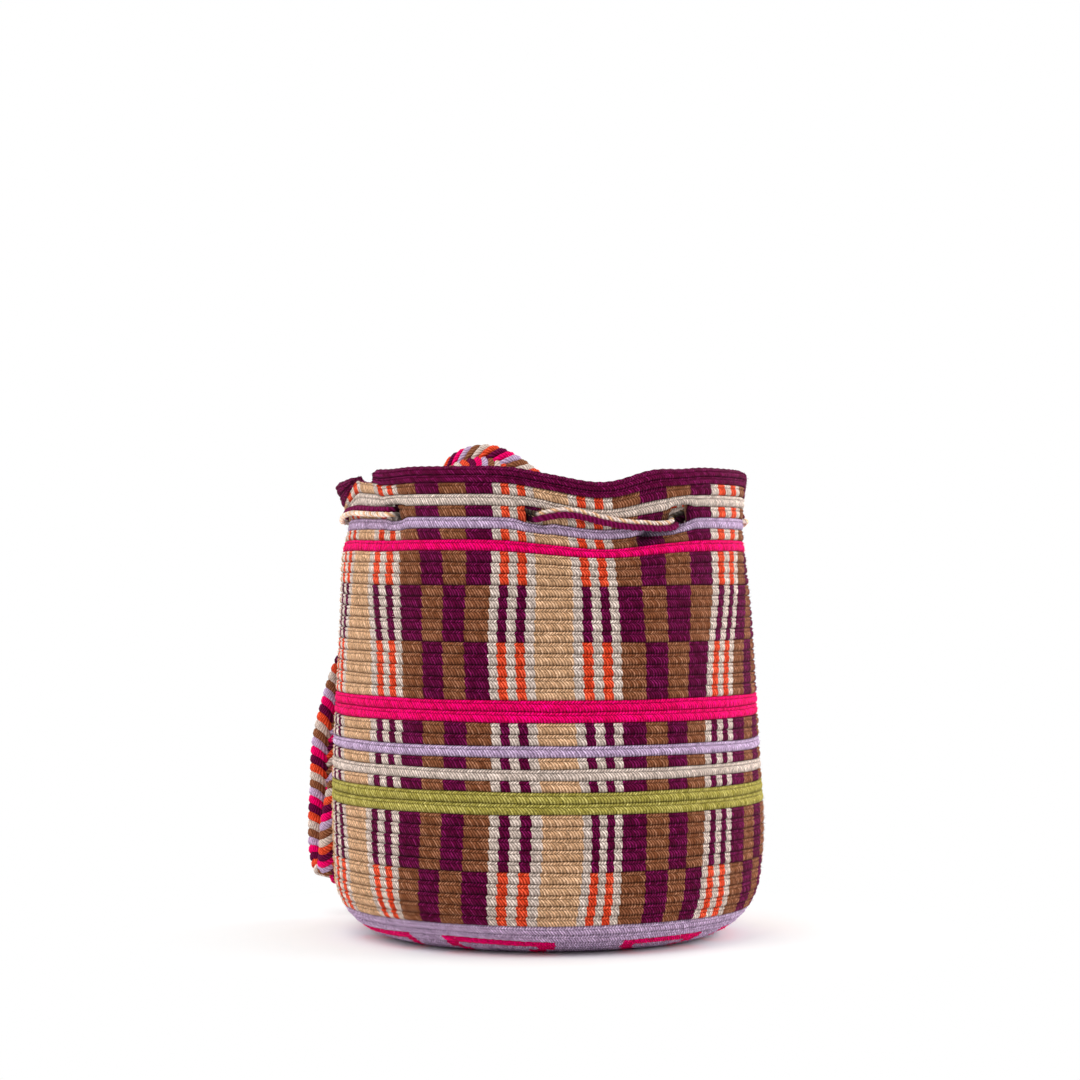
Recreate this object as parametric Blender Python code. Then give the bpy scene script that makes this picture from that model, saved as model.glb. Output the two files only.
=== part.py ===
"""A crocheted bucket bag with a laced drawstring and a braided shoulder strap.

The bag is worked in rounds from the centre of its base: flat rounds, then rounds that turn up
round the bottom edge, then the wall. Places on it are given by a round number, counted from the
centre of the base, and by an angle in degrees from the front, which faces -Y, towards +X.
The origin is the centre of the flat underside, and +Z is up. Lengths are in metres.
"""

import math

import bmesh
import bpy
import numpy as np

# The crochet
ROUND_PITCH = 0.00602
BASE_ROUNDS = 14
BASE_RADIUS = 0.0820
RIM_ROUND = 59
WALL_TOP_ROUND = 61
RIM_PITCH = 0.0040
WALL_THICKNESS = 0.004
RIDGE_DEPTH = 0.0009
RIDGE_PLACE = 0.55
EDGE_RADIUS = 0.0363
BELLY_RADIUS = 0.1192
WAIST_RADIUS = 0.1156
NECK_RADIUS = 0.1108
RIM_RADIUS = 0.1122
BELLY_ROUND = 27.0
WAIST_ROUND = 45.0
SIDE_BULGE = 0.0025

# The eyelets and the gathers that the drawstring pulls
EYELETS = 8
EYELET_ROUND = 56
FIRST_EYELET_ANGLE = -48.5
EYELET_WIDTH = 0.0103
EYELET_HEIGHT = 0.0086
COLUMNS_BETWEEN_EYELETS = 4
PINCH = 0.0045
BULGE = 0.0022
EYELET_DIMPLE = 0.0022
GATHER_DROP = 0.16
GATHER_LEAN = 3.0
GATHER_SHARPNESS = 2.5
LEFT_RELIEF = 1.0
BACK_DROP = 0.15
PLEAT_ANGLE = -66.0
PLEAT_DEPTH = 0.013
FLARE_ANGLE = -95.0
FLARE_REACH = 0.008
FLARE_DROP = 0.25
LEFT_SWELL = 0.0035

# The drawstring
STRING_HEIGHT = 0.0070
STRING_THICKNESS = 0.0040
STRING_CLEARANCE = 0.0009
STRING_RISE = 0.25
TIE_ANGLE = 199.0
TIE_KNOT_RADIUS = 0.0075
END_KNOT_RADIUS = 0.0062
KNOT_FLATNESS = 0.8
TOUCH_GAP = 0.0003

# The strap
STRAP_WIDTH = 0.0200
STRAP_THICKNESS = 0.0075
STRAP_RIB_PITCH = 0.0095
STRAP_RIB_DEPTH = 0.0009
STRAP_RIB_LEAN = 0.0050

# The strap's middle line from its right end to its left end, and which way its width points there
STRAP_ROUTE = (
    ((0.0972, -0.0392, 0.176), (0.375, 0.927, 0.00)),
    ((0.0972, -0.0392, 0.195), (0.375, 0.927, 0.00)),
    ((0.0930, -0.0376, 0.217), (0.375, 0.927, 0.00)),
    ((0.0880, -0.0352, 0.2375), (0.375, 0.927, 0.02)),
    ((0.0795, -0.0312, 0.2455), (0.370, 0.920, 0.08)),
    ((0.0650, -0.0210, 0.2455), (0.300, 0.900, 0.30)),
    ((0.0460, -0.0060, 0.2395), (0.200, 0.800, 0.55)),
    ((0.0250, 0.0130, 0.2370), (0.100, 0.700, 0.70)),
    ((0.0070, 0.0300, 0.2420), (0.000, 0.620, 0.78)),
    ((-0.0080, 0.0420, 0.2510), (0.000, 0.600, 0.80)),
    ((-0.0220, 0.0510, 0.2610), (0.000, 0.580, 0.81)),
    ((-0.0350, 0.0590, 0.2662), (0.050, 0.580, 0.81)),
    ((-0.0480, 0.0660, 0.2645), (0.100, 0.600, 0.79)),
    ((-0.0580, 0.0750, 0.2590), (0.300, 0.620, 0.72)),
    ((-0.0620, 0.0855, 0.2533), (0.600, 0.600, 0.45)),
    ((-0.0625, 0.0955, 0.2490), (0.800, 0.520, 0.15)),
    ((-0.0640, 0.1035, 0.2405), (0.860, 0.450, 0.00)),
    ((-0.0685, 0.1055, 0.2280), (0.830, 0.450, -0.25)),
    ((-0.0765, 0.1000, 0.2110), (0.700, 0.520, -0.49)),
    ((-0.0900, 0.0930, 0.1870), (0.750, 0.380, -0.54)),
    ((-0.1040, 0.0880, 0.1640), (0.800, 0.300, -0.50)),
    ((-0.1140, 0.0860, 0.1480), (0.850, 0.300, -0.42)),
    ((-0.1225, 0.0845, 0.1228), (0.940, 0.240, -0.24)),
    ((-0.1277, 0.0840, 0.1000), (0.980, 0.200, -0.05)),
    ((-0.1288, 0.0838, 0.0750), (0.980, 0.200, -0.05)),
    ((-0.1298, 0.0836, 0.0540), (0.980, 0.200, -0.10)),
    ((-0.1290, 0.0815, 0.0370), (0.930, 0.100, -0.35)),
    ((-0.1250, 0.0715, 0.0240), (0.800, 0.000, -0.60)),
    ((-0.1225, 0.0620, 0.0360), (0.920, -0.100, -0.35)),
    ((-0.1215, 0.0590, 0.0520), (0.950, -0.250, -0.15)),
    ((-0.1175, 0.0590, 0.0750), (0.900, -0.300, -0.33)),
    ((-0.1100, 0.0630, 0.0980), (0.850, 0.300, -0.30)),
    ((-0.1030, 0.0685, 0.1250), (0.740, 0.600, -0.25)),
    ((-0.0970, 0.0745, 0.1550), (0.680, 0.720, -0.15)),
    ((-0.0935, 0.0775, 0.1850), (0.660, 0.750, -0.10)),
    ((-0.0915, 0.0770, 0.2130), (0.643, 0.766, 0.00)),
    ((-0.0910, 0.0765, 0.2320), (0.643, 0.766, 0.00)),
    ((-0.0901, 0.0756, 0.2450), (0.643, 0.766, 0.00)),
    ((-0.0884, 0.0742, 0.2510), (0.643, 0.766, 0.00)),
    ((-0.0846, 0.0710, 0.2536), (0.643, 0.766, 0.00)),
    ((-0.0809, 0.0678, 0.2510), (0.643, 0.766, 0.00)),
    ((-0.0790, 0.0663, 0.2450), (0.643, 0.766, 0.00)),
    ((-0.0755, 0.0633, 0.2340), (0.643, 0.766, 0.00)),
    ((-0.0744, 0.0624, 0.2200), (0.643, 0.766, 0.00)),
    ((-0.0770, 0.0646, 0.2060), (0.643, 0.766, 0.00)),
    ((-0.0797, 0.0669, 0.1900), (0.643, 0.766, 0.00)),
    ((-0.0797, 0.0669, 0.1700), (0.643, 0.766, 0.00)),
)

# The two free ends of the drawstring, as steps sideways, outwards and down from the tie knot's middle
TAIL_ROUTES = {
    "left": (
        (0.0038, 0.0012, -0.0072),
        (0.0055, 0.0040, -0.0220),
        (0.0075, 0.0056, -0.0370),
        (0.0088, 0.0066, -0.0520),
        (0.0095, 0.0080, -0.0670),
    ),
    "right": (
        (-0.0038, 0.0012, -0.0072),
        (-0.0060, 0.0042, -0.0220),
        (-0.0082, 0.0058, -0.0380),
        (-0.0094, 0.0068, -0.0550),
        (-0.0100, 0.0082, -0.0720),
    ),
}

EYELET_STEP = 360.0 / EYELETS
NORMAL_STEP = 0.02


def clear_scene():
    for thing in list(bpy.data.objects):
        bpy.data.objects.remove(thing, do_unlink=True)


def yarn_material(name, colour, roughness=0.85):
    """A matt yarn of one colour."""
    material = bpy.data.materials.new(name)
    material.use_nodes = True
    shader = material.node_tree.nodes["Principled BSDF"]
    shader.inputs["Base Color"].default_value = (*colour, 1.0)
    shader.inputs["Roughness"].default_value = roughness
    shader.inputs["Metallic"].default_value = 0.0
    return material


def add_object(name, mesh, material):
    mesh.materials.append(material)
    mesh.shade_smooth()
    thing = bpy.data.objects.new(name, mesh)
    bpy.context.scene.collection.objects.link(thing)
    return thing


def through(places, values, at):
    """The values at some places, read from a smooth cubic through the given ones."""
    places = np.asarray(places, float)
    values = np.asarray(values, float)
    slopes = np.gradient(values, places, axis=0)
    at = np.clip(np.asarray(at, float), places[0], places[-1])
    i = np.clip(np.searchsorted(places, at, side="right") - 1, 0, len(places) - 2)
    gap = places[i + 1] - places[i]
    u = (at - places[i]) / gap
    if values.ndim > 1:
        gap = gap[..., None]
        u = u[..., None]
    start = (1 + 2 * u) * (1 - u) ** 2 * values[i] + u * (1 - u) ** 2 * gap * slopes[i]
    end = u**2 * (3 - 2 * u) * values[i + 1] + u**2 * (u - 1) * gap * slopes[i + 1]
    return start + end


def bell(x, centre, width):
    return np.exp(-(((x - centre) / width) ** 2))


def turn_bell(angle, centre, width):
    """The same round the bag, where 360 degrees is a full turn."""
    return bell((angle - centre + 180.0) % 360.0 - 180.0, 0.0, width)


def smooth_step(x, start, end):
    u = np.clip((x - start) / (end - start), 0.0, 1.0)
    return u * u * (3 - 2 * u)


def pulled(angle):
    """1 midway along a stretch where the drawstring lies outside, and 0 where it lies inside."""
    first_outside = FIRST_EYELET_ANGLE - EYELET_STEP / 2
    return 0.5 + 0.5 * np.cos(np.radians((angle - first_outside) * EYELETS / 2))


def at_back(angle):
    """1 on the back of the mouth, which has settled lower, and 0 on its front."""
    turn = angle % 360.0
    return smooth_step(turn, 105.0, 150.0) * (1 - smooth_step(turn, 255.0, 280.0))


def profile_radius(rounds):
    """The radius of the outer face: a quarter circle at the bottom edge, then a slow waist and neck."""
    arc_rounds = EDGE_RADIUS * math.pi / 2 / ROUND_PITCH
    edge_end = BASE_ROUNDS + arc_rounds
    turned = np.clip((rounds - BASE_ROUNDS) / arc_rounds, 0.0, 1.0) * math.pi / 2
    edge = BASE_RADIUS + EDGE_RADIUS * np.sin(turned)
    wall = through(
        (edge_end, BELLY_ROUND, WAIST_ROUND, EYELET_ROUND + 0.5, WALL_TOP_ROUND),
        (BASE_RADIUS + EDGE_RADIUS, BELLY_RADIUS, WAIST_RADIUS, NECK_RADIUS, RIM_RADIUS),
        rounds,
    )
    return np.where(rounds < edge_end, edge, wall)


def surface_radius(angle, rounds):
    """The outer face's radius, with the gathers, the pleat and the turned-out lip on the left."""
    near_string = bell(rounds, EYELET_ROUND + 0.5, 3.2)
    pull = pulled(angle)
    radius = profile_radius(rounds) + near_string * (BULGE * (1 - pull) - PINCH * pull)
    from_eyelet = (angle - FIRST_EYELET_ANGLE + EYELET_STEP / 2) % EYELET_STEP - EYELET_STEP / 2
    radius -= EYELET_DIMPLE * bell(from_eyelet, 0.0, 7.0) * bell(rounds, EYELET_ROUND - 0.5, 1.8)
    lip = smooth_step(rounds, EYELET_ROUND + 0.5, WALL_TOP_ROUND + 1.0)
    radius -= PLEAT_DEPTH * lip * turn_bell(angle, PLEAT_ANGLE, 7.0)
    radius += FLARE_REACH * lip * turn_bell(angle, FLARE_ANGLE, 16.0)
    radius += SIDE_BULGE * turn_bell(angle, 92.0, 35.0) * bell(rounds, BELLY_ROUND, 5.0)
    radius += LEFT_SWELL * turn_bell(angle, -98.0, 28.0) * bell(rounds, 54.0, 5.0)
    return radius


def settling(angle, rounds):
    """The share of its height that a round loses where the mouth is gathered or has settled."""
    above = smooth_step(rounds, 46.0, 53.0)
    gathered = GATHER_DROP * pulled(angle + GATHER_LEAN) ** GATHER_SHARPNESS
    gathered = gathered * (1 - LEFT_RELIEF * turn_bell(angle, -70.0, 32.0))
    lip = FLARE_DROP * turn_bell(angle, FLARE_ANGLE, 14.0) * smooth_step(rounds, 55.5, 60.0)
    return above * (gathered + BACK_DROP * at_back(angle)) + lip


def surface_table(angle, steps_per_round=8):
    """The radius and the height at each fraction of a round, for an array of angles."""
    count = (WALL_TOP_ROUND + 1 - BASE_ROUNDS) * steps_per_round + 1
    rounds = np.linspace(BASE_ROUNDS, WALL_TOP_ROUND + 1, count)
    grid = surface_radius(angle[:, None], rounds[None, :])
    drop = settling(angle[:, None], rounds[None, :])
    middle = (drop[:, 1:] + drop[:, :-1]) / 2
    pitch = np.where(rounds[:-1] < RIM_ROUND, ROUND_PITCH, RIM_PITCH)
    slant = pitch / steps_per_round * (1 - middle)
    rise = np.sqrt(np.maximum(slant**2 - np.diff(grid, axis=1) ** 2, 0.0))
    height = np.concatenate([np.zeros((len(angle), 1)), np.cumsum(rise, axis=1)], axis=1)
    return grid, height, steps_per_round


def surface(angle, rounds):
    """Points of the outer face without its ridges, for arrays of angles and round numbers."""
    angle, rounds = np.broadcast_arrays(np.asarray(angle, float), np.asarray(rounds, float))
    shape = angle.shape
    angle = angle.ravel()
    radii, heights, steps = surface_table(angle)
    place = (rounds.ravel() - BASE_ROUNDS) * steps
    i = np.clip(place.astype(int), 0, radii.shape[1] - 2)
    u = place - i
    row = np.arange(len(angle))
    radius = radii[row, i] * (1 - u) + radii[row, i + 1] * u
    height = heights[row, i] * (1 - u) + heights[row, i + 1] * u
    turn = np.radians(angle)
    points = np.stack([radius * np.sin(turn), -radius * np.cos(turn), height], axis=-1)
    return points.reshape(*shape, 3)


def outward(angle, rounds):
    """Unit vectors that point straight out of the outer face."""
    across = surface(angle + 1.0, rounds) - surface(angle - 1.0, rounds)
    along = surface(angle, rounds + NORMAL_STEP) - surface(angle, rounds - NORMAL_STEP)
    normal = np.cross(across, along)
    return normal / np.linalg.norm(normal, axis=-1, keepdims=True)


def column_angles():
    """The angles of the mesh's columns: each eyelet is one column wide, with others between."""
    half_eyelet = math.degrees(EYELET_WIDTH / 2 / NECK_RADIUS)
    gap = (EYELET_STEP - 2 * half_eyelet) / COLUMNS_BETWEEN_EYELETS
    angles = []
    for eyelet in range(EYELETS):
        left = FIRST_EYELET_ANGLE + EYELET_STEP * eyelet - half_eyelet
        angles.append(left)
        angles += [left + 2 * half_eyelet + gap * k for k in range(COLUMNS_BETWEEN_EYELETS)]
    return np.array(angles)


def skin_points(angles, rounds, depth):
    """One ring of points, set in by depth. At the eyelets the rings part to let the cord through."""
    turn = np.arange(len(angles)) % (COLUMNS_BETWEEN_EYELETS + 1)
    from_middle = rounds - (EYELET_ROUND + 0.5)
    at = np.full(len(angles), float(rounds))
    if abs(from_middle) < 0.6:
        pitch = ROUND_PITCH * (1 - settling(angles, rounds))
        at += (turn < 2) * from_middle * (EYELET_HEIGHT / pitch - 1)
    return surface(angles, at) - depth * outward(angles, at)


def bag_body():
    """One closed crocheted wall and base, with ridged rounds outside and eyelets through it."""
    angles = column_angles()
    count = len(angles)
    outer = [(float(BASE_ROUNDS), 0.0)]
    for number in range(BASE_ROUNDS + 1, WALL_TOP_ROUND):
        outer.append((float(number), RIDGE_DEPTH * min(1.0, (number - BASE_ROUNDS) / 3)))
        if number > BASE_ROUNDS + 2:
            outer.append((number + RIDGE_PLACE, 0.0))
    outer.append((WALL_TOP_ROUND - 0.05, RIDGE_DEPTH))
    eyelet_rounds = (EYELET_ROUND, EYELET_ROUND + RIDGE_PLACE, EYELET_ROUND + 1)
    inner_rounds = [BASE_ROUNDS, 18, 22, 28, 35, 42, 49, 54, *eyelet_rounds, 59, WALL_TOP_ROUND - 0.05]
    inner = [(float(number), WALL_THICKNESS) for number in inner_rounds]

    shell = bmesh.new()
    skins = {}
    for name, rings in (("outer", outer), ("inner", inner)):
        skins[name] = []
        for rounds, depth in rings:
            points = skin_points(angles, rounds, depth)
            if rounds == BASE_ROUNDS:
                points[:, 2] = depth
            skins[name].append([shell.verts.new(point) for point in points])
        skins[name + "_rounds"] = [rounds for rounds, _ in rings]

    for name, facing_out in (("outer", True), ("inner", False)):
        rings = skins[name]
        rounds = skins[name + "_rounds"]
        for low in range(len(rings) - 1):
            in_eyelet = EYELET_ROUND <= rounds[low] < EYELET_ROUND + 1
            for i in range(count):
                if in_eyelet and i % (COLUMNS_BETWEEN_EYELETS + 1) == 0:
                    continue
                j = (i + 1) % count
                face = [rings[low][i], rings[low][j], rings[low + 1][j], rings[low + 1][i]]
                shell.faces.new(face if facing_out else face[::-1])
        end = rings[0]
        shell.faces.new(end[::-1] if facing_out else end)
    for i in range(count):
        j = (i + 1) % count
        outer_top = skins["outer"][-1]
        inner_top = skins["inner"][-1]
        shell.faces.new([outer_top[i], outer_top[j], inner_top[j], inner_top[i]])
    bridge_eyelets(shell, skins, count)
    mesh = bpy.data.meshes.new("bag_body")
    shell.to_mesh(mesh)
    shell.free()
    return add_object("bag_body", mesh, yarn_material("crocheted_yarn", (0.36, 0.20, 0.09)))


def bridge_eyelets(shell, skins, count):
    """Joins the outer and the inner face round each eyelet."""
    for i in range(0, count, COLUMNS_BETWEEN_EYELETS + 1):
        j = (i + 1) % count
        loops = []
        for name in ("outer", "inner"):
            rings = zip(skins[name], skins[name + "_rounds"])
            across = [ring for ring, number in rings if EYELET_ROUND <= number <= EYELET_ROUND + 1]
            loops.append([ring[i] for ring in across] + [ring[j] for ring in across[::-1]])
        outer, inner = loops
        for k in range(len(outer)):
            m = (k + 1) % len(outer)
            shell.faces.new([inner[k], inner[m], outer[m], outer[k]])


def swept(name, line, across, flat, profile, material):
    """A solid bar whose profile, a list of (sideways, upwards, forwards), follows a line.

    across points along the profile's sideways direction and flat along its upwards one. Each
    may change from ring to ring, and so may the profile."""
    along = np.gradient(line, axis=0)
    along /= np.linalg.norm(along, axis=1, keepdims=True)
    rings = []
    bar = bmesh.new()
    for k in range(len(line)):
        side, up, forward = profile(k).T
        points = line[k] + np.outer(side, across[k]) + np.outer(up, flat[k]) + np.outer(forward, along[k])
        rings.append([bar.verts.new(point) for point in points])
    for low, high in zip(rings, rings[1:]):
        for i in range(len(low)):
            j = (i + 1) % len(low)
            bar.faces.new([low[i], low[j], high[j], high[i]])
    bar.faces.new(rings[0][::-1])
    bar.faces.new(rings[-1])
    bmesh.ops.recalc_face_normals(bar, faces=bar.faces)
    mesh = bpy.data.meshes.new(name)
    bar.to_mesh(mesh)
    bar.free()
    return add_object(name, mesh, material)


def oval_profile(width, height, sides=6):
    """An oval's corner points, with one at each end of its width."""
    turn = np.radians(np.arange(sides) * 360.0 / sides)
    return np.stack([width / 2 * np.cos(turn), height / 2 * np.sin(turn), 0 * turn], axis=1)


def string_offset(angle):
    """How far the drawstring's middle lies from the outer face: outside or inside by turns."""
    beyond = STRING_THICKNESS / 2 + STRING_CLEARANCE
    outside = beyond
    inside = -WALL_THICKNESS - beyond
    half_cross = math.degrees(EYELET_WIDTH / 2 / NECK_RADIUS) * 0.98
    stage = (angle - FIRST_EYELET_ANGLE) / EYELET_STEP
    nearest = np.round(stage)
    from_eyelet = (stage - nearest) * EYELET_STEP
    crossing = np.sin(np.clip(from_eyelet / half_cross, -1.0, 1.0) * math.pi / 2)
    sense = np.where(nearest % 2 == 0, 1.0, -1.0)
    inward = 0.5 + 0.5 * sense * crossing
    return outside + (inside - outside) * inward


def drawstring_line():
    """The laced cord's middle line, from the tie knot at the back right round to the knot again."""
    knot_half = math.degrees(0.88 * TIE_KNOT_RADIUS / NECK_RADIUS)
    start = TIE_ANGLE - 360.0 + knot_half
    end = TIE_ANGLE - knot_half
    angles = [start, start + 6.0]
    for eyelet in np.arange(-3, 6):
        centre = FIRST_EYELET_ANGLE + EYELET_STEP * eyelet
        for near in (-9.5, -4.6, -2.6, 0.0, 2.6, 4.6, 9.5, 22.5):
            angle = centre + near
            if start + 8.0 < angle < end - 8.0:
                angles.append(angle)
    angles += [end - 6.0, end]
    angles = np.array(sorted(angles))
    base = surface(angles, EYELET_ROUND + 0.5 + STRING_RISE * pulled(angles) ** 2)
    turn = np.radians(angles)
    radial = np.stack([np.sin(turn), -np.cos(turn), 0 * turn], axis=1)
    return angles, base + string_offset(angles)[:, None] * radial


def drawstring():
    """The laced stretch of the drawstring, a flat cord that stands on its edge."""
    _, line = drawstring_line()
    along = np.gradient(line, axis=0)
    along /= np.linalg.norm(along, axis=1, keepdims=True)
    up = np.tile([0.0, 0.0, 1.0], (len(line), 1))
    up -= along * (up * along).sum(axis=1, keepdims=True)
    up /= np.linalg.norm(up, axis=1, keepdims=True)
    out = np.cross(along, up)
    section = oval_profile(STRING_HEIGHT, STRING_THICKNESS)
    material = yarn_material("cord_yarn", (0.12, 0.01, 0.06))
    return swept("drawstring", line, up, out, lambda k: section, material)


def knot(name, centre, radius, material):
    """A small rounded knot, flattened towards the wall behind it."""
    ball = bmesh.new()
    bmesh.ops.create_uvsphere(ball, u_segments=8, v_segments=6, radius=radius)
    bmesh.ops.scale(ball, vec=(1.0, KNOT_FLATNESS, 1.0), verts=ball.verts)
    turn = math.atan2(-centre[0], centre[1])
    for corner in ball.verts:
        x, y, z = corner.co
        corner.co = (
            centre[0] + x * math.cos(turn) - y * math.sin(turn),
            centre[1] + x * math.sin(turn) + y * math.cos(turn),
            centre[2] + z,
        )
    mesh = bpy.data.meshes.new(name)
    ball.to_mesh(mesh)
    ball.free()
    return add_object(name, mesh, material)


def tail(name, points, material):
    """A free end of the drawstring: a round cord through the points."""
    places = np.concatenate([[0.0], np.cumsum(np.linalg.norm(np.diff(points, axis=0), axis=1))])
    at = np.arange(0.0, places[-1] - STRING_HEIGHT / 2, STRING_HEIGHT * 1.8)
    line = through(places, points, np.append(at, places[-1]))
    curve = bpy.data.curves.new(name, "CURVE")
    curve.dimensions = "3D"
    spline = curve.splines.new("POLY")
    spline.points.add(len(line) - 1)
    for point, place in zip(spline.points, line):
        point.co = (*place, 1.0)
    curve.bevel_depth = STRING_HEIGHT / 2
    curve.bevel_resolution = 2
    curve.use_fill_caps = True
    curve.materials.append(material)
    thing = bpy.data.objects.new(name, curve)
    bpy.context.scene.collection.objects.link(thing)
    return thing


def tie_and_tails():
    """The knot that ties the drawstring at the back, and its two knotted ends."""
    material = yarn_material("cord_end_yarn", (0.12, 0.01, 0.06))
    turn = math.radians(TIE_ANGLE)
    sideways = np.array([math.cos(turn), math.sin(turn), 0.0])
    out = np.array([math.sin(turn), -math.cos(turn), 0.0])
    reach = TIE_KNOT_RADIUS * KNOT_FLATNESS + STRING_CLEARANCE
    centre = surface(TIE_ANGLE, EYELET_ROUND + 0.5) + out * reach
    knot("drawstring_tie_knot", centre, TIE_KNOT_RADIUS, material)
    for side, route in TAIL_ROUTES.items():
        points = centre + np.array(route) @ np.array([sideways, out, [0.0, 0.0, 1.0]])
        tail(f"drawstring_tail_{side}", points, material)
        way = (points[-1] - points[-2]) / np.linalg.norm(points[-1] - points[-2])
        place = points[-1] + way * (END_KNOT_RADIUS + TOUCH_GAP)
        knot(f"drawstring_end_knot_{side}", place, END_KNOT_RADIUS, material)


def strap_line(step):
    """Evenly spaced points of the strap's middle line, and the way its width points at each."""
    points = np.array([place for place, _ in STRAP_ROUTE])
    widths = np.array([across for _, across in STRAP_ROUTE])
    places = np.concatenate([[0.0], np.cumsum(np.linalg.norm(np.diff(points, axis=0), axis=1))])
    fine = np.linspace(0.0, places[-1], 4000)
    line = through(places, points, fine)
    run = np.concatenate([[0.0], np.cumsum(np.linalg.norm(np.diff(line, axis=0), axis=1))])
    at = np.interp(np.linspace(0.0, run[-1], round(run[-1] / step) + 1), run, fine)
    line = through(places, points, at)
    across = through(places, widths, at)
    along = np.gradient(line, axis=0)
    along /= np.linalg.norm(along, axis=1, keepdims=True)
    across -= along * (across * along).sum(axis=1, keepdims=True)
    across /= np.linalg.norm(across, axis=1, keepdims=True)
    return line, across, np.cross(along, across)


def strap():
    """A flat braid with slanting ribs that meet in a point along its middle, on both faces."""
    line, across, flat = strap_line(STRAP_RIB_PITCH / 2)
    half_width = STRAP_WIDTH / 2
    half_thick = STRAP_THICKNESS / 2
    last = len(line) - 1

    def section(k):
        thin = STRAP_RIB_DEPTH * (k % 2)
        lean = STRAP_RIB_LEAN * (0 < k < last)
        crest = half_thick - thin
        edge = half_width - thin
        return np.array(
            [
                (-edge, 0.0, -lean / 2),
                (-half_width * 0.45, -crest, 0.0),
                (half_width * 0.45, -crest, 0.0),
                (edge, 0.0, -lean / 2),
                (half_width * 0.45, crest, 0.0),
                (-half_width * 0.45, crest, 0.0),
            ]
        )

    material = yarn_material("braid_yarn", (0.55, 0.06, 0.16))
    return swept("strap", line, across, flat, section, material)


def main():
    clear_scene()
    bag_body()
    drawstring()
    tie_and_tails()
    strap()


main()
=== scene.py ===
"""The looks of a crocheted bucket bag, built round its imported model.

Places on the bag are given by a round of crochet, counted from the centre of the base, and by a
stitch within the round or an angle in degrees from the front, which faces -Y, towards +X.
Lengths are in metres, and +Z is up.
"""

import math

import bpy
import numpy as np
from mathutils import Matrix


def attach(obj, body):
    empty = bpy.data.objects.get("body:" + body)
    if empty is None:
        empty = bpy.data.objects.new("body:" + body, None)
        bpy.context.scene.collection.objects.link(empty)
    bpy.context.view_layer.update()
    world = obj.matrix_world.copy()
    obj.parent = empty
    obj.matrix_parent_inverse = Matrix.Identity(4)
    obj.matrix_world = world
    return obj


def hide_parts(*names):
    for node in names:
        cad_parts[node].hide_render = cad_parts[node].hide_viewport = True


bl_info = {
    "name": "Crocheted Bucket Bag",
    "version": (1, 0, 0),
    "blender": (4, 5, 0),
    "location": "3D Viewport > Sidebar > Bag",
    "description": "Builds the yarn surfaces of a crocheted bucket bag with a braided strap",
    "category": "Add Mesh",
}

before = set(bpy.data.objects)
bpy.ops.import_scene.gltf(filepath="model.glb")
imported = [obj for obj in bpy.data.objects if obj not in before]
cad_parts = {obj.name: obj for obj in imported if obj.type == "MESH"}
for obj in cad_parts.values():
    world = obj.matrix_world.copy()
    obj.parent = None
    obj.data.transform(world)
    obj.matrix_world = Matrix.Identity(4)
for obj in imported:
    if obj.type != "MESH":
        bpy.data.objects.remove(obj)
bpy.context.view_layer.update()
BODY = "root"
FULL_TURN = 2 * math.pi
A_LITTLE = 1e-6

# The wall, as the solid bag has it
ROUND_PITCH = 0.00602
RIM_PITCH = 0.0040
BASE_ROUNDS = 14
BELLY_ROUND = 27.0
WAIST_ROUND = 45.0
RIM_ROUND = 59
WALL_TOP_ROUND = 61
BASE_RADIUS = 0.0820
EDGE_RADIUS = 0.0363
BELLY_RADIUS = 0.1192
WAIST_RADIUS = 0.1156
NECK_RADIUS = 0.1108
RIM_RADIUS = 0.1122
WALL_THICKNESS = 0.004

# The eyelets
EYELETS = 8
EYELET_STEP = 360.0 / EYELETS
FIRST_EYELET_ANGLE = -48.5
EYELET_ROUND = 56
EYELET_WIDTH = 0.0103
EYELET_HEIGHT = 0.0086
EYELET_HALF = math.degrees(EYELET_WIDTH / 2 / NECK_RADIUS)
STRING_ROUND = EYELET_ROUND + 0.5

# How the drawstring gathers the mouth: lengths in and out, and shares of a round's height
PINCH = 0.0045
BULGE = 0.0022
GATHER_SPREAD = 3.2
GATHER_DROP = 0.16
GATHER_LEAN = 3.0
GATHER_SHARPNESS = 2.5
BACK_DROP = 0.15
RIM_LIFT = 0.17
HOLLOW_DEPTH = 0.0050
HOLLOW_DROP = 0.0022
HOLLOW_SPREAD = 0.75
HOLLOW_LINE = ((24.0, 33.0, 43.0), (53.9, 55.7, 56.4))
EYELET_DIMPLE = 0.0022

# How far from an eyelet's middle the rounds are parted in full, and where they no longer are
PARTED = (EYELET_HALF * 0.8, EYELET_HALF * 2.2)

# Places on the wall: a middle and a width in degrees, and for most then the same in rounds
LEFT_RELIEF = (-70.0, 32.0)
LIFTED = (29.0, 9.0)
DIMPLED = (0.0, 7.0, EYELET_ROUND - 0.5, 1.8)
HOLLOWED = (36.0, 7.0, 55.7, 1.3)
SWELLS = ((0.0025, (92.0, 35.0, BELLY_ROUND, 5.0)), (0.0035, (-98.0, 28.0, 54.0, 5.0)))
BASE_SHIFTS = ((0.45, (-32.0, 20.0, 17.6, 1.3)), (-0.35, (8.0, 20.0, 17.6, 1.3)))

# Stretches, each by where it starts, is whole, begins to fade and ends
BACK = (105.0, 150.0, 255.0, 280.0)
HOLLOW = (23.0, 31.0, 40.0, 47.0)
CORNER_ANGLES = (-118.0, -106.0, -57.5, -55.0)
FOLDED = (-76.0, -72.0, -60.5, -57.5)
WANDERING = (15.0, 20.0, 54.0, 58.0)

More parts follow.
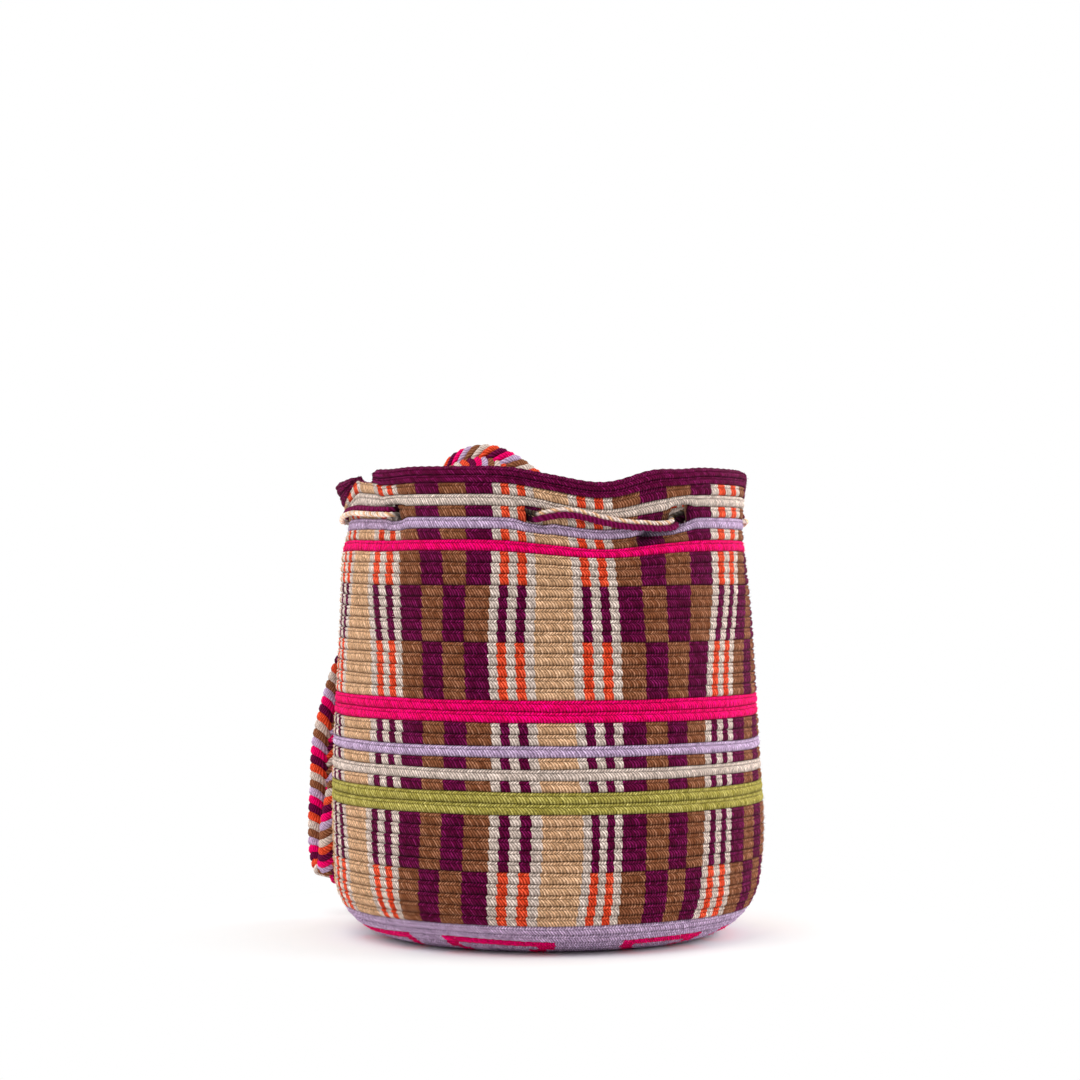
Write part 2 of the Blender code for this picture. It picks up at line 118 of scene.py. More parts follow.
# Rounds between which something grows from nothing to whole
SETTLED = (46.0, 53.0)
OVER_STRING = (57.0, 58.5)
OFF_BASE = (15.0, 20.0)
ON_RIM = (58.0, 59.5)
FOLD_ROUNDS = (58.2, 59.2)
FOLD_THINNING = 0.75

# The left corner of the mouth as it lies: its angles, then the radius and the height of the wall at
# the rim's bottom round and at its top edge. The edge is folded in, and then turned out as a lip.
CORNER_START_ROUND = 56.5
CORNER_SMOOTHNESS = 0.4
CORNER = np.array([
    (-118, 0.1142, 0.2420, 0.1165, 0.2480),
    (-104, 0.1142, 0.2385, 0.1170, 0.2462),
    (-96, 0.1135, 0.2372, 0.1178, 0.2478),
    (-90, 0.1130, 0.2372, 0.1180, 0.2488),
    (-86, 0.1125, 0.2390, 0.1178, 0.2496),
    (-82, 0.1117, 0.2425, 0.1160, 0.2500),
    (-78, 0.1102, 0.2475, 0.1130, 0.2512),
    (-74.5, 0.1093, 0.2510, 0.1095, 0.2530),
    (-72.5, 0.1088, 0.2524, 0.1075, 0.2548),
    (-70, 0.1084, 0.2520, 0.1045, 0.2505),
    (-65, 0.1084, 0.2511, 0.1035, 0.2485),
    (-62, 0.1088, 0.2509, 0.1040, 0.2490),
    (-60.5, 0.1093, 0.2506, 0.1056, 0.2518),
    (-59.3, 0.1097, 0.2504, 0.1092, 0.2545),
    (-58.2, 0.1100, 0.2502, 0.1114, 0.2560),
    (-56, 0.1102, 0.2500, 0.1118, 0.2564),
    (-54, 0.1103, 0.2499, 0.1119, 0.2566),
])

# The drawstring, its knots and its free ends
STRING_HEIGHT = 0.0070
STRING_THICKNESS = 0.0040
STRING_CLEARANCE = 0.0009
CORD_GAP = STRING_HEIGHT / 4
STRING_RISE = 0.25
STRING_LIFT = (
    (-7.0, -3.0, 0.0, 4.0, 8.0, 12.0, 18.0, 25.0, 32.0, 38.0, 43.0, 48.0),
    (0.0, -0.0012, 0.0008, 0.0032, 0.0038, 0.0030, 0.0005, -0.0026, -0.0046, -0.0048, -0.0030, 0.0),
)
STRING_LEAN = 0.7
STRING_STEP = 0.6
CROSSING = 0.98
ROLLED = (0.10, 0.40)
# Painted shade on the cords where they run inside the wall, and painted light where they lie
# outside it
STRING_SHADE = 0.12
STRING_PAINTED_LIGHT = 1.13
OUT_OF_WALL = (-0.0015, 0.0026)
TIE_ANGLE = 199.0
TIE_KNOT_RADIUS = 0.0075
END_KNOT_RADIUS = 0.0062
KNOT_FLATNESS = 0.8
KNOT_HOLD = 0.88
KNOT_POINTS = 73
KNOT_SHAPE = (1.0, 1.1, 1.0)
KNOT_CORD = 0.0024
TOUCH_GAP = 0.0003
TAIL_STEP = 0.0012
TAIL_SAMPLES = 400
TAIL_TWIST = 0.030
PLY_SIDES = 8
TAIL_ROUTES = {
    "left": (
        (0.0038, 0.0012, -0.0072),
        (0.0055, 0.0040, -0.0220),
        (0.0075, 0.0056, -0.0370),
        (0.0088, 0.0066, -0.0520),
        (0.0095, 0.0080, -0.0670),
    ),
    "right": (
        (-0.0038, 0.0012, -0.0072),
        (-0.0060, 0.0042, -0.0220),
        (-0.0082, 0.0058, -0.0380),
        (-0.0094, 0.0068, -0.0550),
        (-0.0100, 0.0082, -0.0720),
    ),
}

# The strap's middle line from its right end to its left end, and which way its width points there
STRAP_WIDTH = 0.0200
STRAP_THICKNESS = 0.0075
STRAP_STEP = 0.001
STRAP_SAMPLES = 4000
STRAP_ROUTE = np.array([
    (0.0972, -0.0392, 0.176, 0.375, 0.927, 0),
    (0.0972, -0.0392, 0.195, 0.375, 0.927, 0),
    (0.093, -0.0376, 0.217, 0.375, 0.927, 0),
    (0.088, -0.0352, 0.2375, 0.375, 0.927, 0.02),
    (0.0795, -0.0312, 0.2455, 0.37, 0.92, 0.08),
    (0.065, -0.021, 0.2455, 0.3, 0.9, 0.3),
    (0.046, -0.006, 0.2395, 0.2, 0.8, 0.55),
    (0.025, 0.013, 0.237, 0.1, 0.7, 0.7),
    (0.007, 0.03, 0.242, 0, 0.62, 0.78),
    (-0.008, 0.042, 0.251, 0, 0.6, 0.8),
    (-0.022, 0.051, 0.261, 0, 0.58, 0.81),
    (-0.035, 0.059, 0.2662, 0.05, 0.58, 0.81),
    (-0.048, 0.066, 0.2645, 0.1, 0.6, 0.79),
    (-0.058, 0.075, 0.259, 0.3, 0.62, 0.72),
    (-0.062, 0.0855, 0.2533, 0.6, 0.6, 0.45),
    (-0.0625, 0.0955, 0.249, 0.8, 0.52, 0.15),
    (-0.064, 0.1035, 0.2405, 0.86, 0.45, 0),
    (-0.0685, 0.1055, 0.228, 0.83, 0.45, -0.25),
    (-0.0765, 0.1, 0.211, 0.7, 0.52, -0.49),
    (-0.09, 0.093, 0.187, 0.75, 0.38, -0.54),
    (-0.104, 0.088, 0.164, 0.8, 0.3, -0.5),
    (-0.114, 0.086, 0.148, 0.85, 0.3, -0.42),
    (-0.1225, 0.0845, 0.1228, 0.94, 0.24, -0.24),
    (-0.1277, 0.084, 0.1, 0.98, 0.2, -0.05),
    (-0.1288, 0.0838, 0.075, 0.98, 0.2, -0.05),
    (-0.1298, 0.0836, 0.054, 0.98, 0.2, -0.1),
    (-0.129, 0.0815, 0.037, 0.93, 0.1, -0.35),
    (-0.125, 0.0715, 0.024, 0.8, 0, -0.6),
    (-0.1225, 0.062, 0.036, 0.92, -0.1, -0.35),
    (-0.1215, 0.059, 0.052, 0.95, -0.25, -0.15),
    (-0.1175, 0.059, 0.075, 0.9, -0.3, -0.33),
    (-0.11, 0.063, 0.098, 0.85, 0.3, -0.3),
    (-0.103, 0.0685, 0.125, 0.74, 0.6, -0.25),
    (-0.097, 0.0745, 0.155, 0.68, 0.72, -0.15),
    (-0.0935, 0.0775, 0.185, 0.66, 0.75, -0.1),
    (-0.0915, 0.077, 0.213, 0.643, 0.766, 0),
    (-0.091, 0.0765, 0.232, 0.643, 0.766, 0),
    (-0.0901, 0.0756, 0.245, 0.643, 0.766, 0),
    (-0.0884, 0.0742, 0.251, 0.643, 0.766, 0),
    (-0.0846, 0.071, 0.2536, 0.643, 0.766, 0),
    (-0.0809, 0.0678, 0.251, 0.643, 0.766, 0),
    (-0.079, 0.0663, 0.245, 0.643, 0.766, 0),
    (-0.0755, 0.0633, 0.234, 0.643, 0.766, 0),
    (-0.0744, 0.0624, 0.22, 0.643, 0.766, 0),
    (-0.077, 0.0646, 0.206, 0.643, 0.766, 0),
    (-0.0797, 0.0669, 0.19, 0.643, 0.766, 0),
    (-0.0797, 0.0669, 0.17, 0.643, 0.766, 0),
])

# The braid: how square its loops are across and through it, and how their tips are set in, sunk
# and thinned, each by an amount and a sharpness
BRAID_SIDES = 7
BRAID_POINTS = 10
BRAID_LINES = 0.25
SQUARENESS = (0.62, 0.55)
TIPS = ((0.0013, 8), (0.55, 30), (0.45, 16))
CORE_SHARE = 0.8
CORE_STEP = 3
# Painted shade on the braid close against the bag's side: the X over which it grows, the height
# below which it falls, and how much it darkens
BEHIND_BAG = (-0.131, -0.121)
BEHIND_BAG_TOP = 0.2
BEHIND_BAG_SHADE = 0.45

# The yarns, in the order in which the pattern numbers them
YARNS = ("tan", "ivory", "plum", "brown", "orange", "hot_pink", "lilac", "olive")
TAN, IVORY, PLUM, BROWN, ORANGE, HOT_PINK, LILAC, OLIVE = range(8)
BRAID_COLOURS = (HOT_PINK, PLUM, ORANGE, IVORY, BROWN, LILAC)

# The pattern: a round is 140 stitches, in narrow stripes, plain fields and rows of four checks
STITCHES = 140
FIELDS = "N5 T5 N5 C12 N5 T4 N5 C12 N5 C12 N5 T6 N5 C12 N5 T6 N5 C12 N5 T9".split()
PLAIN_ROUNDS = {
    PLUM: (59, 60),
    IVORY: (33, 57),
    LILAC: (*range(20), 35, 55),
    HOT_PINK: (38, 39, 53),
    OLIVE: (30, 31),
}
FIGURE_ROUND = 17
FIGURE_STARTS = (0, 20, 43, 62, 81, 101, 120)
FIGURE_WIDTH = 13
FIGURE_LEAN = 0.45
FIGURE_SIDE = 1.5
PLUM_STRIPE_ROUNDS = (*range(25, 30), 32, 34, 36, 37, *range(45, 50))

# Where the fabric carries some stitches of some rounds: {round: ((stitch, angle), ...)}
DRIFT = {
    20: ((0, -81), (5, -64), (10, -52), (15, -42), (27, -15.8), (36, 7.8), (41, 19.1), (47, 32.6),
         (53, 43.5), (58, 57), (70, 86), (140, 279)),
    27: ((0, -80), (5, -65), (10, -54.3), (15, -41.2), (27, -14.7), (36, 9.4), (41, 19.5),
         (47, 32.9), (53, 44.6), (58, 56), (70, 84), (140, 280)),
    37: ((0, -84), (5, -69), (10, -53), (15, -40.4), (27, -14.1), (36, 7.6), (41, 19.9),
         (47, 32.9), (53, 46), (58, 58.5), (70, 87), (140, 276)),
    45: ((0, -85), (5, -70), (10, -55), (15, -41.8), (27, -15.4), (36, 7.0), (41, 19.9), (47, 34),
         (53, 49), (58, 62), (70, 92), (140, 275)),
    50: ((0, -84), (5, -69), (10, -58.6), (15, -43.8), (27, -15.1), (36, 7.1), (41, 19.3),
         (47, 34.3), (53, 52.5), (58, 68), (70, 98), (140, 276)),
    56: ((0, -84), (5, -70.5), (10, -58.8), (14, -48.5), (15, -46.2), (27, -14.6), (32, -3.5),
         (36, 6.0), (41, 18.8), (49, 41.5), (53, 52.6), (58, 70), (65, 86.5), (83, 131.5),
         (101, 176.5), (119, 221.5), (137, 266.5), (140, 276)),
}
EYELET_STITCHES = (14, 32, 49, 65, 83, 101, 119, 137)
HOLES = [edge % STITCHES for eyelet in EYELET_STITCHES for edge in (eyelet - 1, eyelet)]

# One round of crochet from its bottom to its top: where its rings are, how far each stands out,
# how far its stitches lean to the right there, in stitches, its painted light and shade, and how
# they bulge
RING_PLACES = np.array([0.0, 0.05, 0.15, 0.30, 0.46, 0.60, 0.69, 0.76, 0.86, 0.95])
RING_HEIGHTS = np.array([-1.2, -0.5, 0.0, 0.25, 0.30, 0.1, -0.45, -0.05, 0.15, -0.3]) * 0.001
RING_LEANS = np.array([0.0, 0.06, 0.06, 0.04, 0.01, -0.02, -0.06, -0.10, -0.11, -0.10])
RING_PAINTED_LIGHT = np.array([0.42, 0.58, 0.80, 0.96, 1.10, 1.12, 0.62, 0.92, 1.20, 0.84])
BODY_BULGE = np.array([0.0, 0.5, 0.9, 1.0, 1.0, 0.7, 0.0, -0.6, -0.9, -0.4])
LINING_PLACES = np.array([0.0, 0.5])
LINING_RIDGE = 0.0006
WALL_BANDS = ((14, 26), (26, 38), (38, 50), (50, 61))

# One stitch: its columns of points, how far each dips in a round's body and along its top, and
# the plies of yarn that go round the bag
COLUMNS = 4
BODY_DIPS = np.array([-1.0, 0.0, 0.3, 0.0])
TOP_DIPS = np.array([0.0, -0.3, 0.8, -0.3])
PLIES = 440
UNEVENNESS_SEED = 7

# How finely the wall's shape is worked out, and between which places its slope is measured
TABLE_STEP = 0.5
STEPS_PER_ROUND = 8
SLOPE_ANGLE = 1.0
SLOPE_ROUNDS = 0.02

# How the rounds wander: a wave's share, its crests round the bag, its drift a round and its start
WAVES = ((1.0, 3, 0.9, 0.0), (0.7, 7, -1.7, 1.0), (0.5, 13, 2.3, 2.0))

# The rim stands out more, has painted light, and is capped by rings with painted light of their
# own: their share of the way in and rise
RIM_BOOST = 0.35
RIM_PAINTED_LIGHT = 0.25
CAP_PAINTED_LIGHT = 1.1
CAP_RINGS = ((0.15, 0.0005), (0.5, 0.0009), (0.85, 0.0005))
CAP_PLACES = np.array([0.1, 0.2, 0.3])
CAP_LEVEL = 0.7
CAP_HUMP = 0.35

# The base: one round from its bottom to its top, and the middle of it
BASE_COLUMNS = 2
BASE_PLACES = np.array([0.0, 0.15, 0.4, 0.62, 0.72, 0.86])
BASE_HEIGHTS = np.array([-1.15, -0.2, 0.25, -0.05, -0.5, 0.1]) * 0.001
BASE_LEVEL = 0.00033
BASE_INSET = 0.00048
CENTRE_RISE = 0.0002
CENTRE_HEIGHT = 0.0008
LINING_CENTRE = 0.004

# Where on the yarn the faces lie that join the two sides, the fibres and the eyelets' edges
JOIN_PLACE = 0.4
FIBRE_PLACE = 0.3
EYELET_EDGE_PLACES = ((0.0, 0.4), (0.25, 0.4), (0.25, 0.5), (0.0, 0.5))

# The stray fibres: how far they lean, how short they may be, and how much painted light brightens
# them
FIBRE_ROOT = 0.0002
FIBRE_LEAN = 0.7
SHORTEST_FIBRE = 0.35
FIBRE_FLOOR = 0.0003
FIBRE_PAINTED_LIGHT = 1.8

# Light in the wall's dark places and on its lining
HOLLOW_SHADE = 0.85
EYELET_SHADE = 0.55
EYELET_SHADE_ANGLE = 4.0
EYELET_SHADE_SPREAD = 0.8
EYELET_EDGE_LIGHT = 0.3
SHADOW_REACH = 4
LINING_LIGHT = (0.6, 0.2)

# The yarn's finish
COLOUR_LAYER = "yarn_colour"
LINES_LAYER = "yarn_lines"
YARN_FINISH = {
    "Roughness": 0.95,
    "Metallic": 0.0,
    "Specular IOR Level": 0.05,
    "Sheen Weight": 0.02,
    "Sheen Roughness": 0.5,
}
# How pale the hue is that the painted highlight goes over to
HIGHLIGHT_GAMMA = 0.5
BUMP_STRENGTH = 0.9
TOP_START = 0.70

# The stage: each light's name, place, size, setting and share of it
CAMERA_PLACE = (-0.0034, -1.74, 0.2195)
CAMERA_LENS = 103.57
SENSOR = 36.0
CLIP_START = 0.05
WHITE = (1.0, 1.0, 1.0, 1.0)
LIGHTS = (
    ("key", (-0.7, -1.0, 1.7), 1.2, "key", 1.0),
    ("right", (1.5, -0.20, 0.8), 1.0, "right", 1.0),
    ("left", (-1.5, -0.25, 0.7), 1.0, "left", 1.0),
    ("edge_right", (1.15, 0.96, 0.6), 1.0, "edge", 1.0),
    ("edge_left", (-1.15, 0.80, 0.6), 1.0, "edge", 0.5),
)
LIGHT_TARGET = (0.0, 0.0, 0.12)
FLOOR_HALF = 4.0
FLOOR_FADE = {"From Min": 0.10, "From Max": 0.24}


def colour_property(name, where, default):
    return bpy.props.FloatVectorProperty(
        name=name,
        description=f"Colour of the yarn in {where}",
        default=default,
        subtype="COLOR_GAMMA",
        size=3,
        min=0.0,
        max=1.0,
    )


def length_property(name, description, default):
    return bpy.props.FloatProperty(
        name=name,
        description=description,
        default=default,
        min=0.0,
        max=0.05,
        subtype="DISTANCE",
        unit="LENGTH",
        precision=5,
    )


def power_property(name, place, default):
    return bpy.props.FloatProperty(
        name=name,
        description=f"Power of the light {place}",
        default=default,
        min=0.0,
        subtype="POWER",
        unit="POWER",
    )


class BagYarns(bpy.types.PropertyGroup):
    """The colours of the yarns."""

    tan: colour_property("Tan", "the plain fields", (0.82, 0.635, 0.475))
    ivory: colour_property("Ivory", "the thin stripes", (0.83, 0.75, 0.70))
    plum: colour_property("Plum", "the dark checks, the rim and the cord", (0.345, 0.005, 0.18))
    brown: colour_property("Brown", "the light checks", (0.52, 0.30, 0.185))
    orange: colour_property("Orange", "the bright thin stripes", (0.89, 0.255, 0.125))
    hot_pink: colour_property("Hot Pink", "the bright rounds", (0.94, 0.0, 0.365))
    lilac: colour_property("Lilac", "the base and two rounds", (0.75, 0.635, 0.77))
    olive: colour_property("Olive", "one pair of rounds", (0.66, 0.61, 0.27))


class BagWallSizes(bpy.types.PropertyGroup):
    """The sizes of the crochet."""

    wander: bpy.props.FloatProperty(
        name="Wander",
        description="How far a round strays up and down, as a share of a round",
        default=0.05,
        min=0.0,
        max=0.3,
        subtype="FACTOR",
    )
    stitch_dip: length_property("Stitch Dip", "Depth of the dip between two stitches", 0.00028)
    unevenness: length_property("Unevenness", "How much single stitches stand out", 0.00007)
    fibres: bpy.props.IntProperty(
        name="Fibres",
        description="Stray fibres on each band of the wall",
        default=5000,
        min=0,
        max=8000,
    )
    fibre_length: length_property("Fibre Length", "Longest a stray fibre stands out", 0.0020)
    fibre_radius: length_property("Fibre Radius", "Half the thickness of its root", 0.00009)


class BagCordSizes(bpy.types.PropertyGroup):
    """The sizes of the drawstring's yarns."""

    plum_ply: length_property("Plum Ply", "Radius of one ply of the plum cord", 0.00112)
    plum_offset: length_property("Plum Offset", "How far a ply lies from its middle", 0.00068)
    plum_twist: length_property("Plum Twist", "Length of one full turn of its plies", 0.0120)
    mixed_ply: length_property("Mixed Ply", "Radius of one ply of the two-coloured cord", 0.00086)
    mixed_offset: length_property("Mixed Offset", "How far a ply lies from its middle", 0.00070)
    mixed_twist: length_property("Mixed Twist", "Length of one full turn of its plies", 0.0075)


class BagStrapSizes(bpy.types.PropertyGroup):
    """The sizes of the braid."""

    strand_pitch: length_property("Strand Pitch", "Distance between strands", 0.00475)
    strand_lean: length_property("Strand Lean", "How far ahead a strand's middle lies", 0.0064)
    strand_width: length_property("Strand Width", "Half the width of a strand", 0.0029)
    strand_depth: length_property("Strand Depth", "Half the thickness of a strand", 0.0018)


class BagStage(bpy.types.PropertyGroup):
    """The light and the floor."""

    key: power_property("Key Light", "above", 14.0)
    right: power_property("Right Light", "from the right", 12.0)
    left: power_property("Left Light", "from the left", 5.0)
    edge: power_property("Edge Light", "from behind, of which the left one has half", 15.0)
    ambient: bpy.props.FloatProperty(
        name="Ambient",
        description="Strength of the even light from all round",
        default=0.62,
        min=0.0,
        max=2.0,
    )
    floor: bpy.props.FloatVectorProperty(
        name="Floor",
        description="Colour of the floor",
        default=(0.93, 0.93, 0.93),
        subtype="COLOR",
        size=3,
        min=0.0,
        max=1.0,
    )


def linear(colour):
    """The linear value of a colour as screens write it."""
    colour = np.asarray(colour, float)
    return np.where(colour <= 0.04045, colour / 12.92, ((colour + 0.055) / 1.055) ** 2.4)


def yarn_palette():
    """One row of red, green, blue and alpha for each yarn."""
    yarns = bpy.context.scene.bag_yarns
    rows = [linear(getattr(yarns, name)) for name in YARNS]
    return np.column_stack([np.array(rows), np.ones(len(rows))])


def shade(light):
    """Numbers that darken a colour's red, green and blue and leave its alpha."""
    light = np.asarray(light, float)[..., None]
    return np.concatenate([light, light, light, np.ones_like(light)], axis=-1)


# Curves and lines


def through(places, values, at):
    """The values at some places, read from a smooth cubic through the given ones."""
    places = np.asarray(places, float)
    values = np.asarray(values, float)
    slopes = np.gradient(values, places, axis=0)
    at = np.clip(np.asarray(at, float), places[0], places[-1])
    i = np.clip(np.searchsorted(places, at, side="right") - 1, 0, len(places) - 2)
    gap = places[i + 1] - places[i]
    u = (at - places[i]) / gap
    if values.ndim > 1:
        gap = gap[..., None]
        u = u[..., None]
    start = (1 + 2 * u) * (1 - u) ** 2 * values[i] + u * (1 - u) ** 2 * gap * slopes[i]
    end = u**2 * (3 - 2 * u) * values[i + 1] + u**2 * (u - 1) * gap * slopes[i + 1]
    return start + end


def bell(x, centre, width):
    return np.exp(-(((x - centre) / width) ** 2))


def smooth_step(x, start, end):
    u = np.clip((x - start) / (end - start), 0.0, 1.0)
    return u * u * (3 - 2 * u)


def stretch(x, start, whole, fade, end):
    """1 along a stretch and 0 beyond it, with a smooth step at each end."""
    return smooth_step(x, start, whole) * (1 - smooth_step(x, fade, end))


def signed(angle):
    """The same angle between -180 and 180 degrees."""
    return (angle + 180.0) % 360.0 - 180.0


def turn_bell(angle, centre, width):
    """A bell round the bag, where 360 degrees is a full turn."""
    return bell(signed(angle - centre), 0.0, width)


def spot(angle, rounds, place):
    """1 at a place on the wall and less round it: a bell on the angle times one on the rounds."""
    return turn_bell(angle, *place[:2]) * bell(rounds, *place[2:])


def unit(vectors):
    return vectors / np.linalg.norm(vectors, axis=-1, keepdims=True)


def square_to(vectors, along):
    """Unit vectors near the given ones and square to others: what is left without their part."""
    return unit(vectors - along * (vectors * along).sum(axis=-1, keepdims=True))


def distances(line):
    """How far each point of a line lies from its start, along the line."""
    return np.concatenate([[0.0], np.cumsum(np.linalg.norm(np.diff(line, axis=0), axis=1))])


def read(at, places, table):
    """Rows of a table of three columns, read at any distance along its places."""
    return np.stack([np.interp(at, places, table[:, k]) for k in range(3)], axis=-1)


def radial(angle):
    """Unit vectors out from the middle at angles in degrees."""
    turn = np.radians(angle)
    return np.stack([np.sin(turn), -np.cos(turn), 0 * turn], axis=-1)


# The shape of the wall


def from_eyelet(angle):
    """The angle from the nearest eyelet."""
    return (angle - FIRST_EYELET_ANGLE + EYELET_STEP / 2) % EYELET_STEP - EYELET_STEP / 2


def pulled(angle):
    """1 midway along a stretch where the drawstring lies outside, and 0 where it lies inside."""
    first_outside = FIRST_EYELET_ANGLE - EYELET_STEP / 2
    return 0.5 + 0.5 * np.cos(np.radians((angle - first_outside) * EYELETS / 2))


def profile_radius(rounds):
    """The outer face's radius: a quarter circle at the bottom edge, then a slow waist and neck."""
    arc_rounds = EDGE_RADIUS * math.pi / 2 / ROUND_PITCH
    edge_end = BASE_ROUNDS + arc_rounds
    turned = np.clip((rounds - BASE_ROUNDS) / arc_rounds, 0.0, 1.0) * math.pi / 2
    edge = BASE_RADIUS + EDGE_RADIUS * np.sin(turned)
    wall = through(
        (edge_end, BELLY_ROUND, WAIST_ROUND, STRING_ROUND, WALL_TOP_ROUND),
        (BASE_RADIUS + EDGE_RADIUS, BELLY_RADIUS, WAIST_RADIUS, NECK_RADIUS, RIM_RADIUS),
        rounds,
    )
    return np.where(rounds < edge_end, edge, wall)


def surface_radius(angle, rounds):
    """The outer face's radius, with the mouth's gathers, the eyelets' dimples and the swells."""
    near_string = bell(rounds, STRING_ROUND, GATHER_SPREAD)
    pull = pulled(angle)
    radius = profile_radius(rounds) + near_string * (BULGE * (1 - pull) - PINCH * pull)
    radius -= EYELET_DIMPLE * spot(from_eyelet(angle), rounds, DIMPLED)
    for swell, place in SWELLS:
        radius += swell * spot(angle, rounds, place)
    return radius


def settling(angle, rounds):
    """The share of its height that a round loses where the mouth is gathered or has settled."""
    over_string = smooth_step(rounds, *OVER_STRING)
    gathered = GATHER_DROP * pulled(angle + GATHER_LEAN) ** GATHER_SHARPNESS * (1 - over_string)
    gathered = gathered * (1 - turn_bell(angle, *LEFT_RELIEF))
    lifted = RIM_LIFT * turn_bell(angle, *LIFTED) * over_string
    at_back = BACK_DROP * stretch(angle % 360.0, *BACK)
    return smooth_step(rounds, *SETTLED) * (gathered - lifted + at_back)


def hollow(angle, rounds):
    """1 along the crease where the drawstring pulls the wall in, right of its front stretch."""
    return stretch(angle, *HOLLOW) * bell(rounds, np.interp(angle, *HOLLOW_LINE), HOLLOW_SPREAD)


def wall_table():
    """The wall's radius and height on a grid of angles and fractions of a round.

    The height adds up what is left of each step along the wall once its step outwards is taken
    off: the square root of the slanted step squared less the outward step squared. The left
    corner's own radii and heights are blended in above the drawstring."""
    angle = np.arange(0.0, 360.0 + TABLE_STEP / 2, TABLE_STEP)[:, None]
    count = (WALL_TOP_ROUND + 1 - BASE_ROUNDS) * STEPS_PER_ROUND + 1
    rounds = np.linspace(BASE_ROUNDS, WALL_TOP_ROUND + 1, count)
    radius = surface_radius(angle, rounds)
    drop = settling(angle, rounds)
    pitch = np.where(rounds[:-1] < RIM_ROUND, ROUND_PITCH, RIM_PITCH)
    slant = pitch / STEPS_PER_ROUND * (1 - (drop[:, 1:] + drop[:, :-1]) / 2)
    rise = np.sqrt(np.maximum(slant**2 - np.diff(radius, axis=1) ** 2, 0.0))
    height = np.concatenate([np.zeros((len(angle), 1)), np.cumsum(rise, axis=1)], axis=1)
    radius = radius - HOLLOW_DEPTH * hollow(angle, rounds)
    height = height - HOLLOW_DROP * spot(angle, rounds, HOLLOWED)

    turn = signed(angle)
    share = stretch(turn, *CORNER_ANGLES)
    low, middle, high = CORNER_START_ROUND, RIM_ROUND, WALL_TOP_ROUND
    start = int((low - BASE_ROUNDS) * STEPS_PER_ROUND)
    straight = np.clip((rounds - low) / (middle - low), 0, 1)
    up = straight + (smooth_step(rounds, low, middle) - straight) * CORNER_SMOOTHNESS
    over = np.maximum(rounds - middle, 0.0) / (high - middle)
    tables = []
    for table, column in ((radius, 1), (height, 2)):
        rim = np.interp(turn, CORNER[:, 0], CORNER[:, column])
        edge = np.interp(turn, CORNER[:, 0], CORNER[:, column + 2])
        corner = table[:, start : start + 1] * (1 - up) + rim * up + (edge - rim) * over
        tables.append(np.where(rounds > low, table * (1 - share) + corner * share, table))
    return tables


WALL_RADIUS, WALL_HEIGHT = wall_table()


def surface(angle, rounds):
    """Points of the outer face: the table read at any angle and round, and turned about Z."""
    angle, rounds = np.broadcast_arrays(np.asarray(angle, float), np.asarray(rounds, float))
    across = (angle % 360.0) / TABLE_STEP
    along = (rounds - BASE_ROUNDS) * STEPS_PER_ROUND
    i = np.clip(across.astype(int), 0, WALL_RADIUS.shape[0] - 2)
    j = np.clip(along.astype(int), 0, WALL_RADIUS.shape[1] - 2)
    u = across - i
    v = along - j
    values = []
    for table in (WALL_RADIUS, WALL_HEIGHT):
        low = table[i, j] * (1 - v) + table[i, j + 1] * v
        high = table[i + 1, j] * (1 - v) + table[i + 1, j + 1] * v
        values.append(low * (1 - u) + high * u)
    points = values[0][..., None] * radial(angle)
    points[..., 2] = values[1]
    return points


def outward(angle, rounds):
    """Unit vectors straight out of the outer face: its slope across times its slope along."""
    across = surface(angle + SLOPE_ANGLE, rounds) - surface(angle - SLOPE_ANGLE, rounds)
    along = surface(angle, rounds + SLOPE_ROUNDS) - surface(angle, rounds - SLOPE_ROUNDS)
    return unit(np.cross(across, along))


# The pattern


def stitch_angles(stitches, rounds):
    """The angle of each stitch of each round, read along the round and then from round to round."""
    whole = np.arange(STITCHES + 1)
    table = np.array([through(*np.array(row, float).T, whole) for row in DRIFT.values()])
    per_round = through(tuple(DRIFT), table, rounds)
    turns = np.floor(stitches / STITCHES)
    place = stitches - turns * STITCHES
    i = np.minimum(place.astype(int), STITCHES - 1)
    row = np.arange(len(rounds))[:, None]
    low = per_round[row, i]
    return low + (per_round[row, i + 1] - low) * (place - i) + 360.0 * turns


def stitch_yarns(number):
    """The yarn of each stitch of one round."""
    for yarn, rounds in PLAIN_ROUNDS.items():
        if number in rounds:
            row = [yarn] * STITCHES
            return base_figures(number, row) if number <= FIGURE_ROUND else row
    stripe, checks = (ORANGE, (BROWN, PLUM))
    if number in PLUM_STRIPE_ROUNDS:
        stripe, checks = (PLUM, (PLUM, BROWN))
    row = []
    for field in FIELDS:
        count = int(field[1:])
        if field[0] == "T":
            row += [TAN] * count
        elif field[0] == "N":
            row += [IVORY, stripe, IVORY, stripe, IVORY]
        else:
            row += [checks[k // 3 % 2] for k in range(count)]
    return row


def base_figures(number, row):
    """Seven open wedges round the base: a bar, and two sides that lean in towards the centre."""
    for start in FIGURE_STARTS:
        lean = (FIGURE_ROUND - number) * FIGURE_LEAN
        left = start + lean
        right = start + FIGURE_WIDTH - lean
        if right - left < 1.0:
            continue
        for k in range(round(left), round(right) + 1):
            on_side = k < left + FIGURE_SIDE or k > right - FIGURE_SIDE
            if number == FIGURE_ROUND or on_side:
                row[k % STITCHES] = HOT_PINK
    return row


# Meshes


